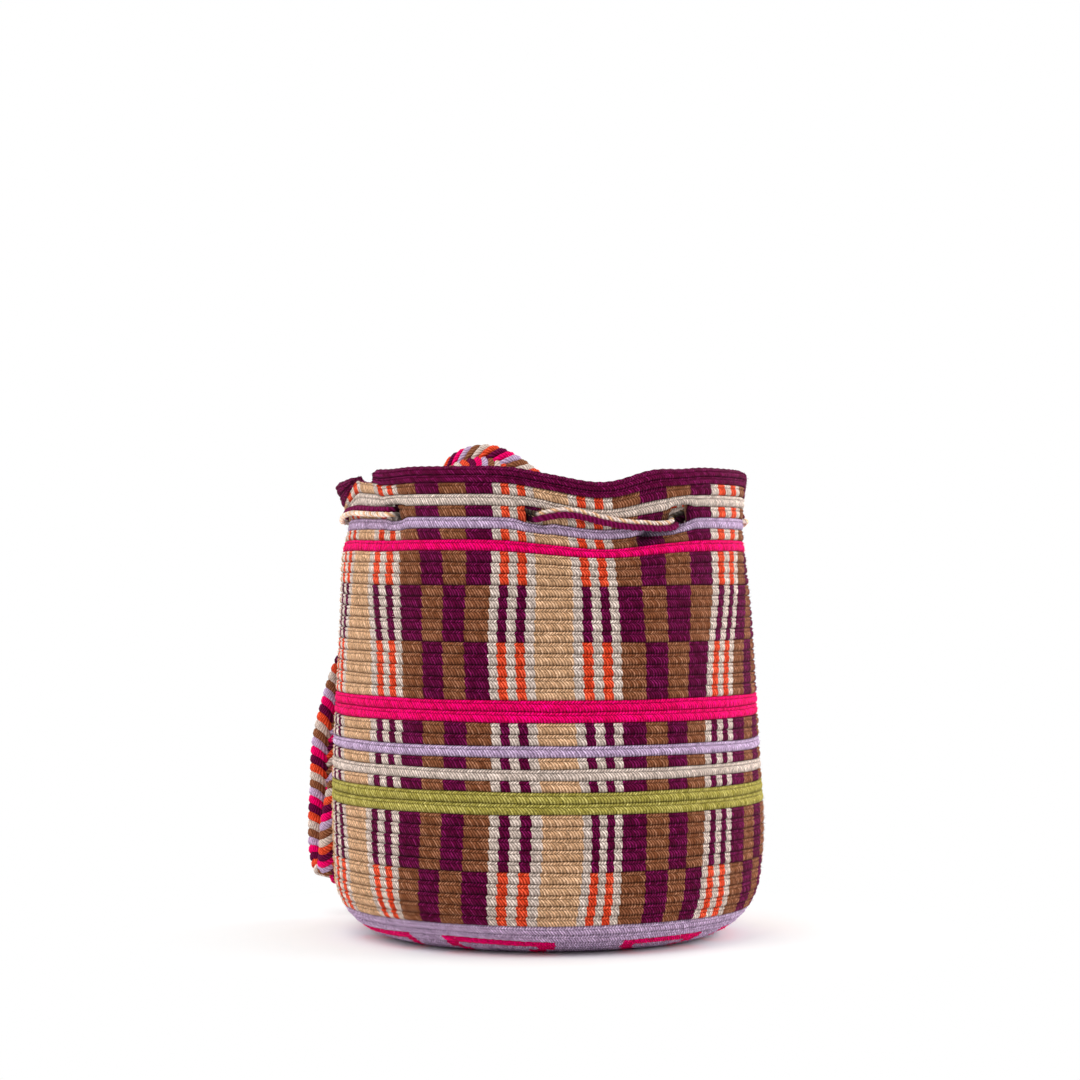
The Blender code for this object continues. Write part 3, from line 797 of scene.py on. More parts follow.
def add_mesh(name, points, faces, material, colours=None, uvs=None):
    """A mesh object from arrays: each array in faces has faces of one number of corners.

    colours and uvs hold one row for each corner, in the faces' order."""
    mesh = bpy.data.meshes.new(name)
    sizes = np.concatenate([np.full(len(group), group.shape[1]) for group in faces])
    corners = np.concatenate([group.ravel() for group in faces])
    starts = np.concatenate([[0], np.cumsum(sizes)[:-1]])
    mesh.vertices.add(len(points))
    mesh.vertices.foreach_set("co", np.ascontiguousarray(points, dtype=np.float32).ravel())
    mesh.loops.add(len(corners))
    mesh.loops.foreach_set("vertex_index", corners.astype(np.int32))
    mesh.polygons.add(len(sizes))
    mesh.polygons.foreach_set("loop_start", starts.astype(np.int32))
    mesh.polygons.foreach_set("loop_total", sizes.astype(np.int32))
    mesh.update(calc_edges=True)
    mesh.validate()
    if colours is not None:
        layer = mesh.color_attributes.new(COLOUR_LAYER, "FLOAT_COLOR", "CORNER")
        layer.data.foreach_set("color", np.ascontiguousarray(colours, dtype=np.float32).ravel())
        layer = mesh.uv_layers.new(name=LINES_LAYER)
        layer.data.foreach_set("uv", uvs.astype(np.float32).ravel())
    mesh.polygons.foreach_set("use_smooth", np.ones(len(sizes), dtype=bool))
    mesh.materials.append(material)
    thing = bpy.data.objects.new(name, mesh)
    bpy.context.scene.collection.objects.link(thing)
    return thing


class Fabric:
    """Faces gathered bit by bit, each corner with a colour and a place along the yarn."""

    def __init__(self):
        self.parts = []

    def add(self, faces, colours, uvs):
        self.parts.append((faces, colours.reshape(-1, 4), uvs.reshape(-1, 2)))

    def mesh(self, name, points, material):
        faces, colours, uvs = zip(*self.parts)
        return add_mesh(name, points, faces, material, np.concatenate(colours), np.concatenate(uvs))


def grid_corners(rows, columns):
    """The row and column of the four corners of each face of a grid, anticlockwise from outside."""
    row, column = (numbers.ravel() for numbers in np.mgrid[0 : rows - 1, 0:columns])
    rows = np.stack([row, row, row + 1, row + 1], axis=1)
    return rows, np.stack([column, column + 1, column + 1, column], axis=1)


def ring_strip(below, above, columns):
    """Faces between two rings of points, given the number of each one's first point."""
    column = np.arange(columns)
    after = (column + 1) % columns
    return np.stack([below + column, below + after, above + after, above + column], axis=1)


def wander(angle, rounds):
    """A slow rise and fall of the rounds: sines of the angle whose phases drift with the round."""
    turn = np.radians(angle)
    wave = sum(
        share * np.sin(crests * turn + drift * rounds + start)
        for share, crests, drift, start in WAVES
    )
    wave = wave / sum(share for share, *_ in WAVES) * stretch(rounds, *WANDERING)
    shift = sum(amount * spot(angle, rounds, place) for amount, place in BASE_SHIFTS)
    return bpy.context.scene.bag_wall.wander * wave + shift


def parted(angle, rounds):
    """How far an eyelet pushes the rounds above it up and those below it down."""
    near = 1 - smooth_step(np.abs(from_eyelet(angle)), *PARTED)
    share = 0.5 * (EYELET_HEIGHT / (ROUND_PITCH * (1 - settling(angle, rounds))) - 1)
    middle = rounds - STRING_ROUND
    away = np.abs(middle)
    return np.sign(middle) * share * near * np.where(away < 0.5, away * 2, bell(away, 0.5, 1.0))


def ring_list(first, last, places, full_round=None):
    """The rounds and the fractions of a round of some rounds' rings, up to the next round's."""
    rings = []
    for number in range(first, last):
        rings += [(number, place) for place in (RING_PLACES if number == full_round else places)]
    return np.array(rings + [(last, 0.0)])


def ring_angles(rings):
    """The angle of each column of each ring, with the first column once more at the end."""
    stitches = np.arange(STITCHES * COLUMNS + 1)[None, :] / COLUMNS
    lean = np.interp(rings[:, 1], RING_PLACES, RING_LEANS)[:, None]
    return stitch_angles(stitches + lean, rings.sum(axis=1))


def wall_rings(rings, relief):
    """Points of rings of the wall, one for each column, set out by relief from the solid's face."""
    rounds = rings.sum(axis=1)[:, None]
    angle = ring_angles(rings)[:, :-1]
    at = rounds + wander(angle, rounds) + parted(angle, rounds)
    return surface(angle, at) + relief[..., None] * outward(angle, at)


def outer_relief(rings):
    """How far each point stands out: the ring's height, less a dip at each stitch's edge, and a
    share of unevenness that a stitch keeps over its own columns and its own round."""
    sizes = bpy.context.scene.bag_wall
    rounds = rings.sum(axis=1)[:, None]
    which = np.searchsorted(RING_PLACES, rings[:, 1] - A_LITTLE)
    part = np.arange(STITCHES * COLUMNS) % COLUMNS
    bulge = BODY_BULGE[which][:, None]
    dips = bulge * np.where(bulge > 0, BODY_DIPS[part], TOP_DIPS[part])
    draw = np.random.default_rng(UNEVENNESS_SEED).normal(size=(WALL_TOP_ROUND + 1, STITCHES))
    uneven = np.repeat(draw[rings[:, 0].astype(int)], COLUMNS, axis=1) * np.abs(bulge)
    relief = RING_HEIGHTS[which][:, None] + sizes.stitch_dip * dips + sizes.unevenness * uneven
    relief = relief * (1 + RIM_BOOST * smooth_step(rounds, *ON_RIM))
    return relief - BASE_INSET * (1 - smooth_step(rounds, *OFF_BASE))


def lining_relief(rings):
    """The inner face: a low ridge along the middle of each round, close behind a folded edge."""
    relief = LINING_RIDGE / 2 * np.cos(rings[:, 1] * FULL_TURN) - WALL_THICKNESS
    folded = stretch(signed(ring_angles(rings)[:, :-1]), *FOLDED)
    over = smooth_step(rings.sum(axis=1), *FOLD_ROUNDS)[:, None]
    return relief[:, None] * (1 - FOLD_THINNING * folded * over)


def rim_cap(points):
    """Rings over the top edge, each a share of the way in, humped once for each stitch."""
    edge = np.array([[WALL_TOP_ROUND, 0.0]])
    far = wall_rings(edge, lining_relief(edge))[0]
    hump = 0.5 - 0.5 * np.cos(np.arange(len(far)) * FULL_TURN / COLUMNS)
    caps = []
    for share, rise in CAP_RINGS:
        cap = points[-1] * (1 - share) + far * share
        cap[:, 2] += rise * (CAP_LEVEL + CAP_HUMP * hump)
        caps.append(cap)
    return np.concatenate([points, np.array(caps)])


def wall_band(first, last, material):
    """One closed band of the wall: ridged rounds outside, the lining inside, joined at its ends.

    The top band goes over the rim and is open at the eyelets, whose edges join its two faces."""
    columns = STITCHES * COLUMNS
    top = last == WALL_TOP_ROUND
    rings = ring_list(first, last, RING_PLACES)
    lining = ring_list(first, last, LINING_PLACES, EYELET_ROUND)
    outer = wall_rings(rings, outer_relief(rings))
    outer = rim_cap(outer) if top else outer
    inner = wall_rings(lining, lining_relief(lining))
    points = np.concatenate([outer.reshape(-1, 3), inner.reshape(-1, 3)])
    palette = yarn_palette()
    yarn = np.array([stitch_yarns(number) for number in range(first, last)])

    ring_values = rings.sum(axis=1)
    inner_values = lining.sum(axis=1)
    outer_values = np.append(ring_values, last + CAP_PLACES) if top else ring_values
    # Painted light and shade of each ring, with more painted light on the rim and on its cap
    outer_light = np.interp(outer_values % 1.0, RING_PLACES, RING_PAINTED_LIGHT)
    outer_light = outer_light + RIM_PAINTED_LIGHT * (outer_values >= RIM_ROUND)
    if top:
        outer_light[len(rings) - 1 :] = CAP_PAINTED_LIGHT
    inner_light = LINING_LIGHT[0] - LINING_LIGHT[1] * np.cos(inner_values * FULL_TURN)
    outer_spun, inner_spun = (ring_angles(part) * PLIES / 360.0 for part in (rings, lining))
    outer_spun = np.concatenate([outer_spun] + [outer_spun[-1:]] * (len(outer) - len(rings)))
    fabric = Fabric()
    for values, light, spun, offset, inside in (
        (outer_values, outer_light, outer_spun, 0, False),
        (inner_values, inner_light, inner_spun, len(outer), True),
    ):
        row, column = grid_corners(len(values), columns)
        start = values[row[:, 0]]
        number = np.clip(start.astype(int) - first, 0, len(yarn) - 1)
        stitch = column[:, 0] // COLUMNS
        in_round = np.abs(start + A_LITTLE - STRING_ROUND) < 0.5
        keep = ~(top & in_round & np.isin(stitch, HOLES))
        if inside:
            row, column = row[:, ::-1], column[:, ::-1]
        shadow = np.ones(row.shape) if inside else shadows(column / COLUMNS, values[row])
        # Yarn colour times painted light and shade: the ring's or the lining's, and painted shade
        # in the hollow and round the eyelets
        tint = palette[yarn[number, stitch]][:, None] * shade(light[row] * shadow)
        places = np.stack([spun[row, column], values[row]], axis=-1)
        corners = (row + offset) * columns + column % columns
        fabric.add(corners[keep], tint[keep], places[keep])

    base = len(outer) * columns
    column = np.arange(columns)
    high = ring_strip(base - columns, base + (len(inner) - 1) * columns, columns)
    for strip, number in ((ring_strip(base, 0, columns), first), (high, last - 1)):
        tint = np.repeat(palette[yarn[number - first, column // COLUMNS]], 4, axis=0)
        across = np.stack([column, column + 1, column + 1, column], axis=1) * PLIES / columns
        fabric.add(strip, tint, np.stack([across, np.full(across.shape, number + JOIN_PLACE)], -1))
    if top:
        eyelet_yarn = yarn[EYELET_ROUND - first]
        edges, yarns, places = eyelet_edges(ring_values, inner_values, len(outer), eyelet_yarn)
        fabric.add(edges, np.repeat(palette[yarns], 4, axis=0) * shade(EYELET_EDGE_LIGHT), places)
    spikes, sides, tints = stray_fibres(first, last, palette[yarn])
    fabric.add(sides + len(points), tints, np.tile([0.0, first + FIBRE_PLACE], (sides.size, 1)))
    return fabric.mesh(f"crochet_wall_{first}", np.concatenate([points, spikes]), material)


def stray_fibres(first, last, tints):
    """Thin closed spikes, each with a base of three corners at a random place and one tip.

    The tip is the root plus a length times a unit vector: the outward one with a random one
    added."""
    sizes = bpy.context.scene.bag_wall
    draw = np.random.default_rng(first)
    stitches = draw.uniform(0.0, STITCHES, sizes.fibres)
    rounds = draw.uniform(first, last, sizes.fibres)
    clear = (rounds.astype(int) != EYELET_ROUND) | ~np.isin(stitches.astype(int), HOLES)
    stitches, rounds = stitches[clear], rounds[clear]
    angle = stitch_angles(stitches[:, None], rounds)[:, 0]
    at = rounds + wander(angle, rounds) + parted(angle, rounds)
    out = outward(angle, at)
    sunk = np.interp(rounds % 1.0, RING_PLACES, RING_HEIGHTS - FIBRE_ROOT)
    root = surface(angle, at) + sunk[:, None] * out
    way = unit(out + draw.normal(size=out.shape) * FIBRE_LEAN)
    length = sizes.fibre_length * draw.uniform(SHORTEST_FIBRE, 1.0, len(rounds))
    side = unit(np.cross(way, draw.normal(size=way.shape)))
    turn = np.arange(3)[:, None] * FULL_TURN / 3
    base = np.cos(turn) * side[:, None] + np.sin(turn) * np.cross(way, side)[:, None]
    base = root[:, None] + sizes.fibre_radius * base
    points = np.concatenate([base, (root + way * length[:, None])[:, None]], axis=1)
    points[..., 2] = np.maximum(points[..., 2], FIBRE_FLOOR)
    sides = np.array([[0, 1, 3], [1, 2, 3], [2, 0, 3], [2, 1, 0]])
    faces = sides[None] + 4 * np.arange(len(rounds))[:, None, None]
    # Each fibre has its stitch's yarn colour, brightened by painted light
    tint = tints[rounds.astype(int) - first, stitches.astype(int)] * shade(FIBRE_PAINTED_LIGHT)
    return points.reshape(-1, 3), faces.reshape(-1, 3), np.repeat(tint, sides.size, axis=0)


def shadows(stitches, rounds):
    """How dark the wall is where no light reaches: in the hollow, and close round each eyelet."""
    if rounds.min() > EYELET_ROUND + SHADOW_REACH or rounds.max() < EYELET_ROUND - SHADOW_REACH:
        return np.ones(rounds.shape)
    angle = stitch_angles(stitches.reshape(1, -1), np.array([float(EYELET_ROUND)]))
    angle = angle.reshape(stitches.shape)
    hole = bell(from_eyelet(angle), 0.0, EYELET_SHADE_ANGLE)
    hole = hole * bell(rounds, STRING_ROUND, EYELET_SHADE_SPREAD)
    return (1 - HOLLOW_SHADE * hollow(signed(angle), rounds)) * (1 - EYELET_SHADE * hole)


def eyelet_edges(outer_values, inner_values, inner_start, yarn):
    """Faces between the two edges of each eyelet, the outer one and the inner one."""
    columns = STITCHES * COLUMNS
    loops = []
    for values, start in ((outer_values, 0), (inner_values, inner_start)):
        rows = np.nonzero(np.abs(values - STRING_ROUND) <= 0.5 + A_LITTLE)[0] + start
        edges = []
        for eyelet in EYELET_STITCHES:
            span = np.arange((eyelet - 1) * COLUMNS, (eyelet + 1) * COLUMNS + 1) % columns
            hole = rows[:, None] * columns + span
            edges.append([*hole[:, 0], *hole[-1, 1:], *hole[-2::-1, -1], *hole[0, -2:0:-1]])
        loops.append(np.array(edges))
    outer, inner = loops
    following = (np.roll(inner, -1, axis=1), np.roll(outer, -1, axis=1))
    quads = np.stack([inner, *following, outer], axis=-1).reshape(-1, 4)
    yarns = np.repeat(yarn[np.array(EYELET_STITCHES) % STITCHES], outer.shape[1])
    uvs = np.tile(EYELET_EDGE_PLACES, (len(quads), 1))
    return quads, yarns, uvs


def flat_rings(radius, height, spread):
    """Rings round the middle: each one's radius times unit vectors, at its own height."""
    points = radius[:, None, None] * spread
    points[..., 2] = height[:, None]
    return points


def base_disc(material):
    """The flat base: rounds from the centre to the bottom edge, ridged below, plain above.

    A ring's radius is its round's share of the base, and its height the same relief as the
    wall's."""
    columns = STITCHES * BASE_COLUMNS
    centre = [(0, place) for place in BASE_PLACES[2:]]
    rings = np.concatenate([centre, ring_list(1, BASE_ROUNDS, BASE_PLACES)])
    rounds = rings.sum(axis=1)
    stitches = np.arange(columns)[None, :] / BASE_COLUMNS
    spread = radial(stitch_angles(stitches, np.array([float(min(DRIFT))]))[0])
    rise = BASE_LEVEL - np.interp(rings[:, 1], BASE_PLACES, BASE_HEIGHTS)
    rise = rise + CENTRE_RISE * (rings[:, 0] == 0)
    outer = flat_rings(BASE_RADIUS * rounds / BASE_ROUNDS, rise, spread)
    inner_radius = np.linspace(LINING_CENTRE, BASE_RADIUS, BASE_ROUNDS + 1)
    level = WALL_THICKNESS + LINING_RIDGE * 0.5 * (np.arange(len(inner_radius)) % 2)
    inner = flat_rings(inner_radius, level, spread)
    edge = np.array([[BASE_ROUNDS, 0.0]])
    step = COLUMNS // BASE_COLUMNS
    outer[-1] = wall_rings(edge, outer_relief(edge))[0][::step]
    inner[-1] = wall_rings(edge, lining_relief(edge))[0][::step]
    centres = [[0, 0, CENTRE_HEIGHT], [0, 0, WALL_THICKNESS]]
    points = np.concatenate([outer.reshape(-1, 3), inner.reshape(-1, 3), centres])

    yarn = np.array([stitch_yarns(number) for number in range(BASE_ROUNDS)])
    palette = yarn_palette()
    fabric = Fabric()
    inner_values = BASE_ROUNDS * inner_radius / BASE_RADIUS
    for values, offset, inside in ((rounds, 0, False), (inner_values, len(rounds), True)):
        row, column = grid_corners(len(values), columns)
        number = np.clip(values[row[:, 0]].astype(int), 0, BASE_ROUNDS - 1)
        # Painted light and shade of each ring: darker in the valleys, lighter on the crests
        light = np.interp(values % 1.0, RING_PLACES, RING_PAINTED_LIGHT)[row]
        tint = palette[yarn[number, column[:, 0] // BASE_COLUMNS]][:, None] * shade(light)
        if inside:
            row, column = row[:, ::-1], column[:, ::-1]
        around = column / columns * PLIES * values[row] / BASE_ROUNDS
        places = np.stack([around, values[row]], axis=-1)
        fabric.add((row + offset) * columns + column % columns, tint, places)
    column = np.arange(columns)
    after = (column + 1) % columns
    start = len(rounds) * columns
    below = len(points) - 2
    for faces in (
        ring_strip(start - columns, below - columns, columns),
        np.stack([after, column, np.full(columns, below)], axis=1),
        np.stack([start + column, start + after, np.full(columns, below + 1)], axis=1),
    ):
        fabric.add(faces, np.tile(palette[LILAC], (faces.size, 1)), np.zeros((faces.size, 2)))
    return fabric.mesh("crochet_base", points, material)


# Cords and the braid


def tubes(lines, normals, wide, deep, sides):
    """Closed tubes round many lines at once: each line's points are carried out by an oval.

    lines and normals are (tube, ring, 3), wide and deep (tube, ring) half sizes. Each end closes
    on a single point."""
    along = unit(np.gradient(lines, axis=1))
    normals = square_to(normals, along)
    side = np.cross(along, normals)
    turn = (np.arange(sides) * FULL_TURN / sides)[:, None]
    across = np.cos(turn) * side[:, :, None] * wide[:, :, None, None]
    out = np.sin(turn) * normals[:, :, None] * deep[:, :, None, None]
    points = (lines[:, :, None] + across + out).reshape(-1, 3)
    count, length = lines.shape[:2]
    tube, ring, place = np.mgrid[0:count, 0 : length - 1, 0:sides]
    base = (tube * length + ring) * sides
    after = (place + 1) % sides
    quads = [base + place, base + sides + place, base + sides + after, base + after]
    quads = np.stack(quads, axis=-1).reshape(-1, 4)
    around = np.stack([place, place, place + 1, place + 1], axis=-1) / sides
    uvs = np.stack([around, np.stack([ring, ring + 1, ring + 1, ring], axis=-1)], axis=-1)
    owners = np.repeat(tube.ravel(), 4)
    ends = np.concatenate([lines[:, 0], lines[:, -1]])
    tube, place = np.mgrid[0:count, 0:sides]
    after = (place + 1) % sides
    first = tube * length * sides
    final = first + (length - 1) * sides
    centre = len(points) + tube
    fans = [(first + place, first + after, centre), (final + after, final + place, centre + count)]
    fans = np.concatenate([np.stack(fan, axis=-1).reshape(-1, 3) for fan in fans])
    owners = np.concatenate([owners, np.tile(np.repeat(np.arange(count), sides * 3), 2)])
    uvs = np.concatenate([uvs.reshape(-1, 2), np.zeros((fans.size, 2))])
    return np.concatenate([points, ends]), [quads, fans], owners, uvs


def frames(line, up):
    """Two unit vectors across a line at each point: one near up, and one square to it."""
    along = unit(np.gradient(line, axis=0))
    up = square_to(up, along)
    return up, np.cross(along, up)


def paired_cords(name, line, up, roll, material, gap, light=1.0):
    """Two cords that lie side by side along a line: a plum one, and one of ivory and tan plies.

    Each cord's middle is the line plus half their distance times the direction that roll gives,
    and each ply winds round its cord's middle in a helix. light darkens the cords along it."""
    sizes = bpy.context.scene.bag_cords
    first, second = frames(line, up)
    places = distances(line)
    beside = np.cos(roll)[:, None] * first + np.sin(roll)[:, None] * second
    plum = (-1, (PLUM, PLUM, PLUM), sizes.plum_ply, sizes.plum_offset, sizes.plum_twist)
    mixed = (1, (IVORY, IVORY, TAN), sizes.mixed_ply, sizes.mixed_offset, sizes.mixed_twist)
    lines, radii, yarns = [], [], []
    for sign, plies, radius, offset, twist in (plum, mixed):
        middle = line + beside * gap * sign
        up_here, side = frames(middle, up)
        for k, yarn in enumerate(plies):
            turn = (places / twist + k / len(plies))[:, None] * FULL_TURN
            lines.append(middle + offset * (np.cos(turn) * up_here + np.sin(turn) * side))
            radii.append(np.full(len(line), radius))
            yarns.append(yarn)
    normals = np.broadcast_to(first, (len(lines),) + first.shape)
    radii = np.array(radii)
    points, faces, owner, uvs = tubes(np.array(lines), normals, radii, radii, PLY_SIDES)
    lit = np.interp(uvs[:, 1], np.arange(len(line)), np.broadcast_to(light, len(line)))
    hues = yarn_palette()[np.array(yarns)[owner]] * shade(lit)
    return add_mesh(name, points, faces, material, hues, uvs)


def finish_piece(thing, slot, *nodes):
    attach(thing, BODY)
    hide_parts(*nodes)


def string_offset(angle):
    """How far the drawstring's middle lies from the outer face: outside or inside by turns."""
    beyond = STRING_THICKNESS / 2 + STRING_CLEARANCE
    inside = -WALL_THICKNESS - beyond
    stage = (angle - FIRST_EYELET_ANGLE) / EYELET_STEP
    nearest = np.round(stage)
    past = (stage - nearest) * EYELET_STEP / (EYELET_HALF * CROSSING)
    crossing = np.sin(np.clip(past, -1.0, 1.0) * math.pi / 2)
    inward = 0.5 + 0.5 * np.where(nearest % 2 == 0, crossing, -crossing)
    return beyond + (inside - beyond) * inward


def make_drawstring(material):
    """The laced stretch: a line round the wall, set out or in by turns, with two cords along it.

    The cords lie one above the other, and change places where they run inside the bag."""
    knot_half = math.degrees(KNOT_HOLD * TIE_KNOT_RADIUS / NECK_RADIUS)
    angle = np.arange(TIE_ANGLE - 360.0 + knot_half, TIE_ANGLE - knot_half, STRING_STEP)
    offset = string_offset(angle)
    line = surface(angle, STRING_ROUND + STRING_RISE * pulled(angle) ** 2)
    line = line + offset[:, None] * radial(angle)
    line[:, 2] += np.interp(angle, *STRING_LIFT)
    # Painted shade inside the wall, painted light outside it
    light = STRING_SHADE + STRING_PAINTED_LIGHT * smooth_step(offset, *OUT_OF_WALL)
    stage = (angle - FIRST_EYELET_ANGLE) / (2 * EYELET_STEP)
    half_turns = np.floor(stage) + smooth_step(stage % 1.0, *ROLLED)
    roll = math.pi * (half_turns + 1) - STRING_LEAN
    up = np.tile([0.0, 0.0, 1.0], (len(line), 1))
    cords = paired_cords("laced_drawstring", line, up, roll, material, CORD_GAP, light)
    finish_piece(cords, "cord_yarn", "drawstring")


def make_knot(name, centre, radius, axes, material):
    """A knot of two cords: a closed trefoil (sin t + 2 sin 2t, cos t - 2 cos 2t, -sin 3t),
    flattened."""
    t = np.linspace(0.0, FULL_TURN, KNOT_POINTS)
    across = np.sin(t) + 2 * np.sin(2 * t)
    shape = np.stack([across, -np.sin(3 * t), np.cos(t) - 2 * np.cos(2 * t)], axis=1)
    shape *= np.array(KNOT_SHAPE) * (radius - KNOT_CORD) / 3.0
    up = np.tile(axes[1], (KNOT_POINTS, 1))
    roll = np.full(KNOT_POINTS, math.pi / 2)
    return paired_cords(name, centre + shape @ axes, up, roll, material, KNOT_CORD / 2)


def make_tie_and_tails(material):
    """The tie knot at the back, and two tails that hang from it, each ending in a knot."""
    out = radial(TIE_ANGLE)
    axes = np.array([radial(TIE_ANGLE + 90.0), out, [0.0, 0.0, 1.0]])
    reach = TIE_KNOT_RADIUS * KNOT_FLATNESS + STRING_CLEARANCE
    centre = surface(TIE_ANGLE, STRING_ROUND) + out * reach
    tie = make_knot("tie_knot", centre, TIE_KNOT_RADIUS, axes, material)
    finish_piece(tie, "cord_end_yarn", "drawstring_tie_knot")
    for side, route in TAIL_ROUTES.items():
        points = centre + np.array(route) @ axes
        places = distances(points)
        fine = through(places, points, np.linspace(0.0, places[-1], TAIL_SAMPLES))
        run = distances(fine)
        at = np.linspace(0.0, run[-1], round(run[-1] / TAIL_STEP) + 1)
        line = read(at, run, fine)
        up = np.tile(out, (len(line), 1))
        roll = at / TAIL_TWIST * FULL_TURN
        tail = paired_cords(f"tail_{side}", line, up, roll, material, CORD_GAP)
        finish_piece(tail, "cord_end_yarn", f"drawstring_tail_{side}")
        place = points[-1] + unit(points[-1] - points[-2]) * (END_KNOT_RADIUS + TOUCH_GAP)
        end = make_knot(f"end_knot_{side}", place, END_KNOT_RADIUS, axes, material)
        finish_piece(end, "cord_end_yarn", f"drawstring_end_knot_{side}")


def strap_line():
    """Evenly spaced points of the strap's middle line, and the way its width points at each."""
    points, widths = STRAP_ROUTE[:, :3], STRAP_ROUTE[:, 3:]
    places = distances(points)
    fine = np.linspace(0.0, places[-1], STRAP_SAMPLES)
    run = distances(through(places, points, fine))
    at = np.interp(np.linspace(0.0, run[-1], round(run[-1] / STRAP_STEP) + 1), run, fine)
    line = through(places, points, at)
    along = unit(np.gradient(line, axis=0))
    across = square_to(through(places, widths, at), along)
    return line, across, np.cross(along, across), run[-1]


def make_strap(material):
    """A flat braid: each strand is a plump loop from the middle of one face round an edge to the
    middle of the other. In the strap's section it follows a squared oval, and its middle runs
    ahead along the strap, so that the two sides' strands meet in points on both faces."""
    sizes = bpy.context.scene.bag_strap
    line, across, flat, length = strap_line()
    run = np.linspace(0.0, length, len(line))
    strands = np.arange(int((length - sizes.strand_lean) / sizes.strand_pitch))
    half_width = STRAP_WIDTH / 2 - sizes.strand_depth
    half_thick = STRAP_THICKNESS / 2 - sizes.strand_depth
    theta = np.radians(np.linspace(-90.0, 90.0, BRAID_POINTS))
    height = np.abs(np.sin(theta))
    inset, sink, thinning = (amount * height**sharpness for amount, sharpness in TIPS)
    x = half_width * np.cos(theta) ** SQUARENESS[0] - inset
    y = half_thick * np.sign(theta) * height ** SQUARENESS[1] * (1 - sink)
    ahead = sizes.strand_lean * (1 - x / half_width)
    slope = np.stack([x / half_width**2, y / half_thick**2], axis=1)
    lines, outs, colours = [], [], []
    for side, shift in ((-1, 0.0), (1, 0.5)):
        start = (strands + shift) * sizes.strand_pitch
        at = np.clip(start[:, None] + ahead, 0.0, length)
        place, wide, face = (read(at, run, table) for table in (line, across, flat))
        lines.append(place + side * x[:, None] * wide + y[:, None] * face)
        outs.append(side * slope[:, :1] * wide + slope[:, 1:] * face)
        shift = len(BRAID_COLOURS) // 2 * (side > 0)
        colours.append((strands + shift) % len(BRAID_COLOURS))
    lines = np.concatenate(lines)
    wide, deep = (
        np.broadcast_to(size * (1 - thinning), lines.shape[:2])
        for size in (sizes.strand_width, sizes.strand_depth)
    )
    points, faces, owner, uvs = tubes(lines, np.concatenate(outs), wide, deep, BRAID_SIDES)
    uvs[:, 1] *= BRAID_LINES
    yarns = np.array(BRAID_COLOURS)[np.concatenate(colours)]
    corners = points[np.concatenate([group.ravel() for group in faces])]
    # Painted shade on strands close against the bag's side and below its top
    in_bag_shade = smooth_step(corners[:, 0], *BEHIND_BAG) * (corners[:, 2] < BEHIND_BAG_TOP)
    hues = yarn_palette()[yarns[owner]] * shade(1 - BEHIND_BAG_SHADE * in_bag_shade)
    core, facing = (table[None, ::CORE_STEP] for table in (line, flat))
    wide, deep = (np.full(core.shape[:2], half * CORE_SHARE) for half in (half_width, half_thick))
    core_points, core_faces, owner, core_uvs = tubes(core, facing, wide, deep, PLY_SIDES)
    faces = faces + [group + len(points) for group in core_faces]
    points = np.concatenate([points, core_points])
    hues = np.concatenate([hues, np.tile(yarn_palette()[PLUM], (len(owner), 1))])
    uvs = np.concatenate([uvs, core_uvs])
    strap = add_mesh("braided_strap", points, faces, material, hues, uvs)
    finish_piece(strap, "braid_yarn", "strap")


# Materials


class Wire:
    """A node's socket. Python's operators on it add Math nodes."""

    def __init__(self, finish, socket):
        self.finish = finish
        self.socket = socket

    def math(self, operation, *values):
        return self.finish.node("ShaderNodeMath", {"operation": operation}, dict(enumerate(values)))

    def __add__(self, other):
        return self.math("ADD", self, other)

    def __sub__(self, other):
        return self.math("SUBTRACT", self, other)

    def __rsub__(self, other):
        return self.math("SUBTRACT", other, self)

    def __mul__(self, other):
        return self.math("MULTIPLY", self, other)

    def __pow__(self, other):
        return self.math("POWER", self, other)

    __radd__ = __add__
    __rmul__ = __mul__

    def fraction(self):
        return self.math("FRACT", self)

    def floor(self):
        return self.math("FLOOR", self)

    def above(self, limit):
        return self.math("GREATER_THAN", self, limit)

    def larger(self, other):
        return self.math("MAXIMUM", self, other)

    def waves(self):
        """Even crests, one to each whole number, from 0 in a groove to 1 on a crest."""
        return self.math("SINE", self * FULL_TURN) * 0.5 + 0.5


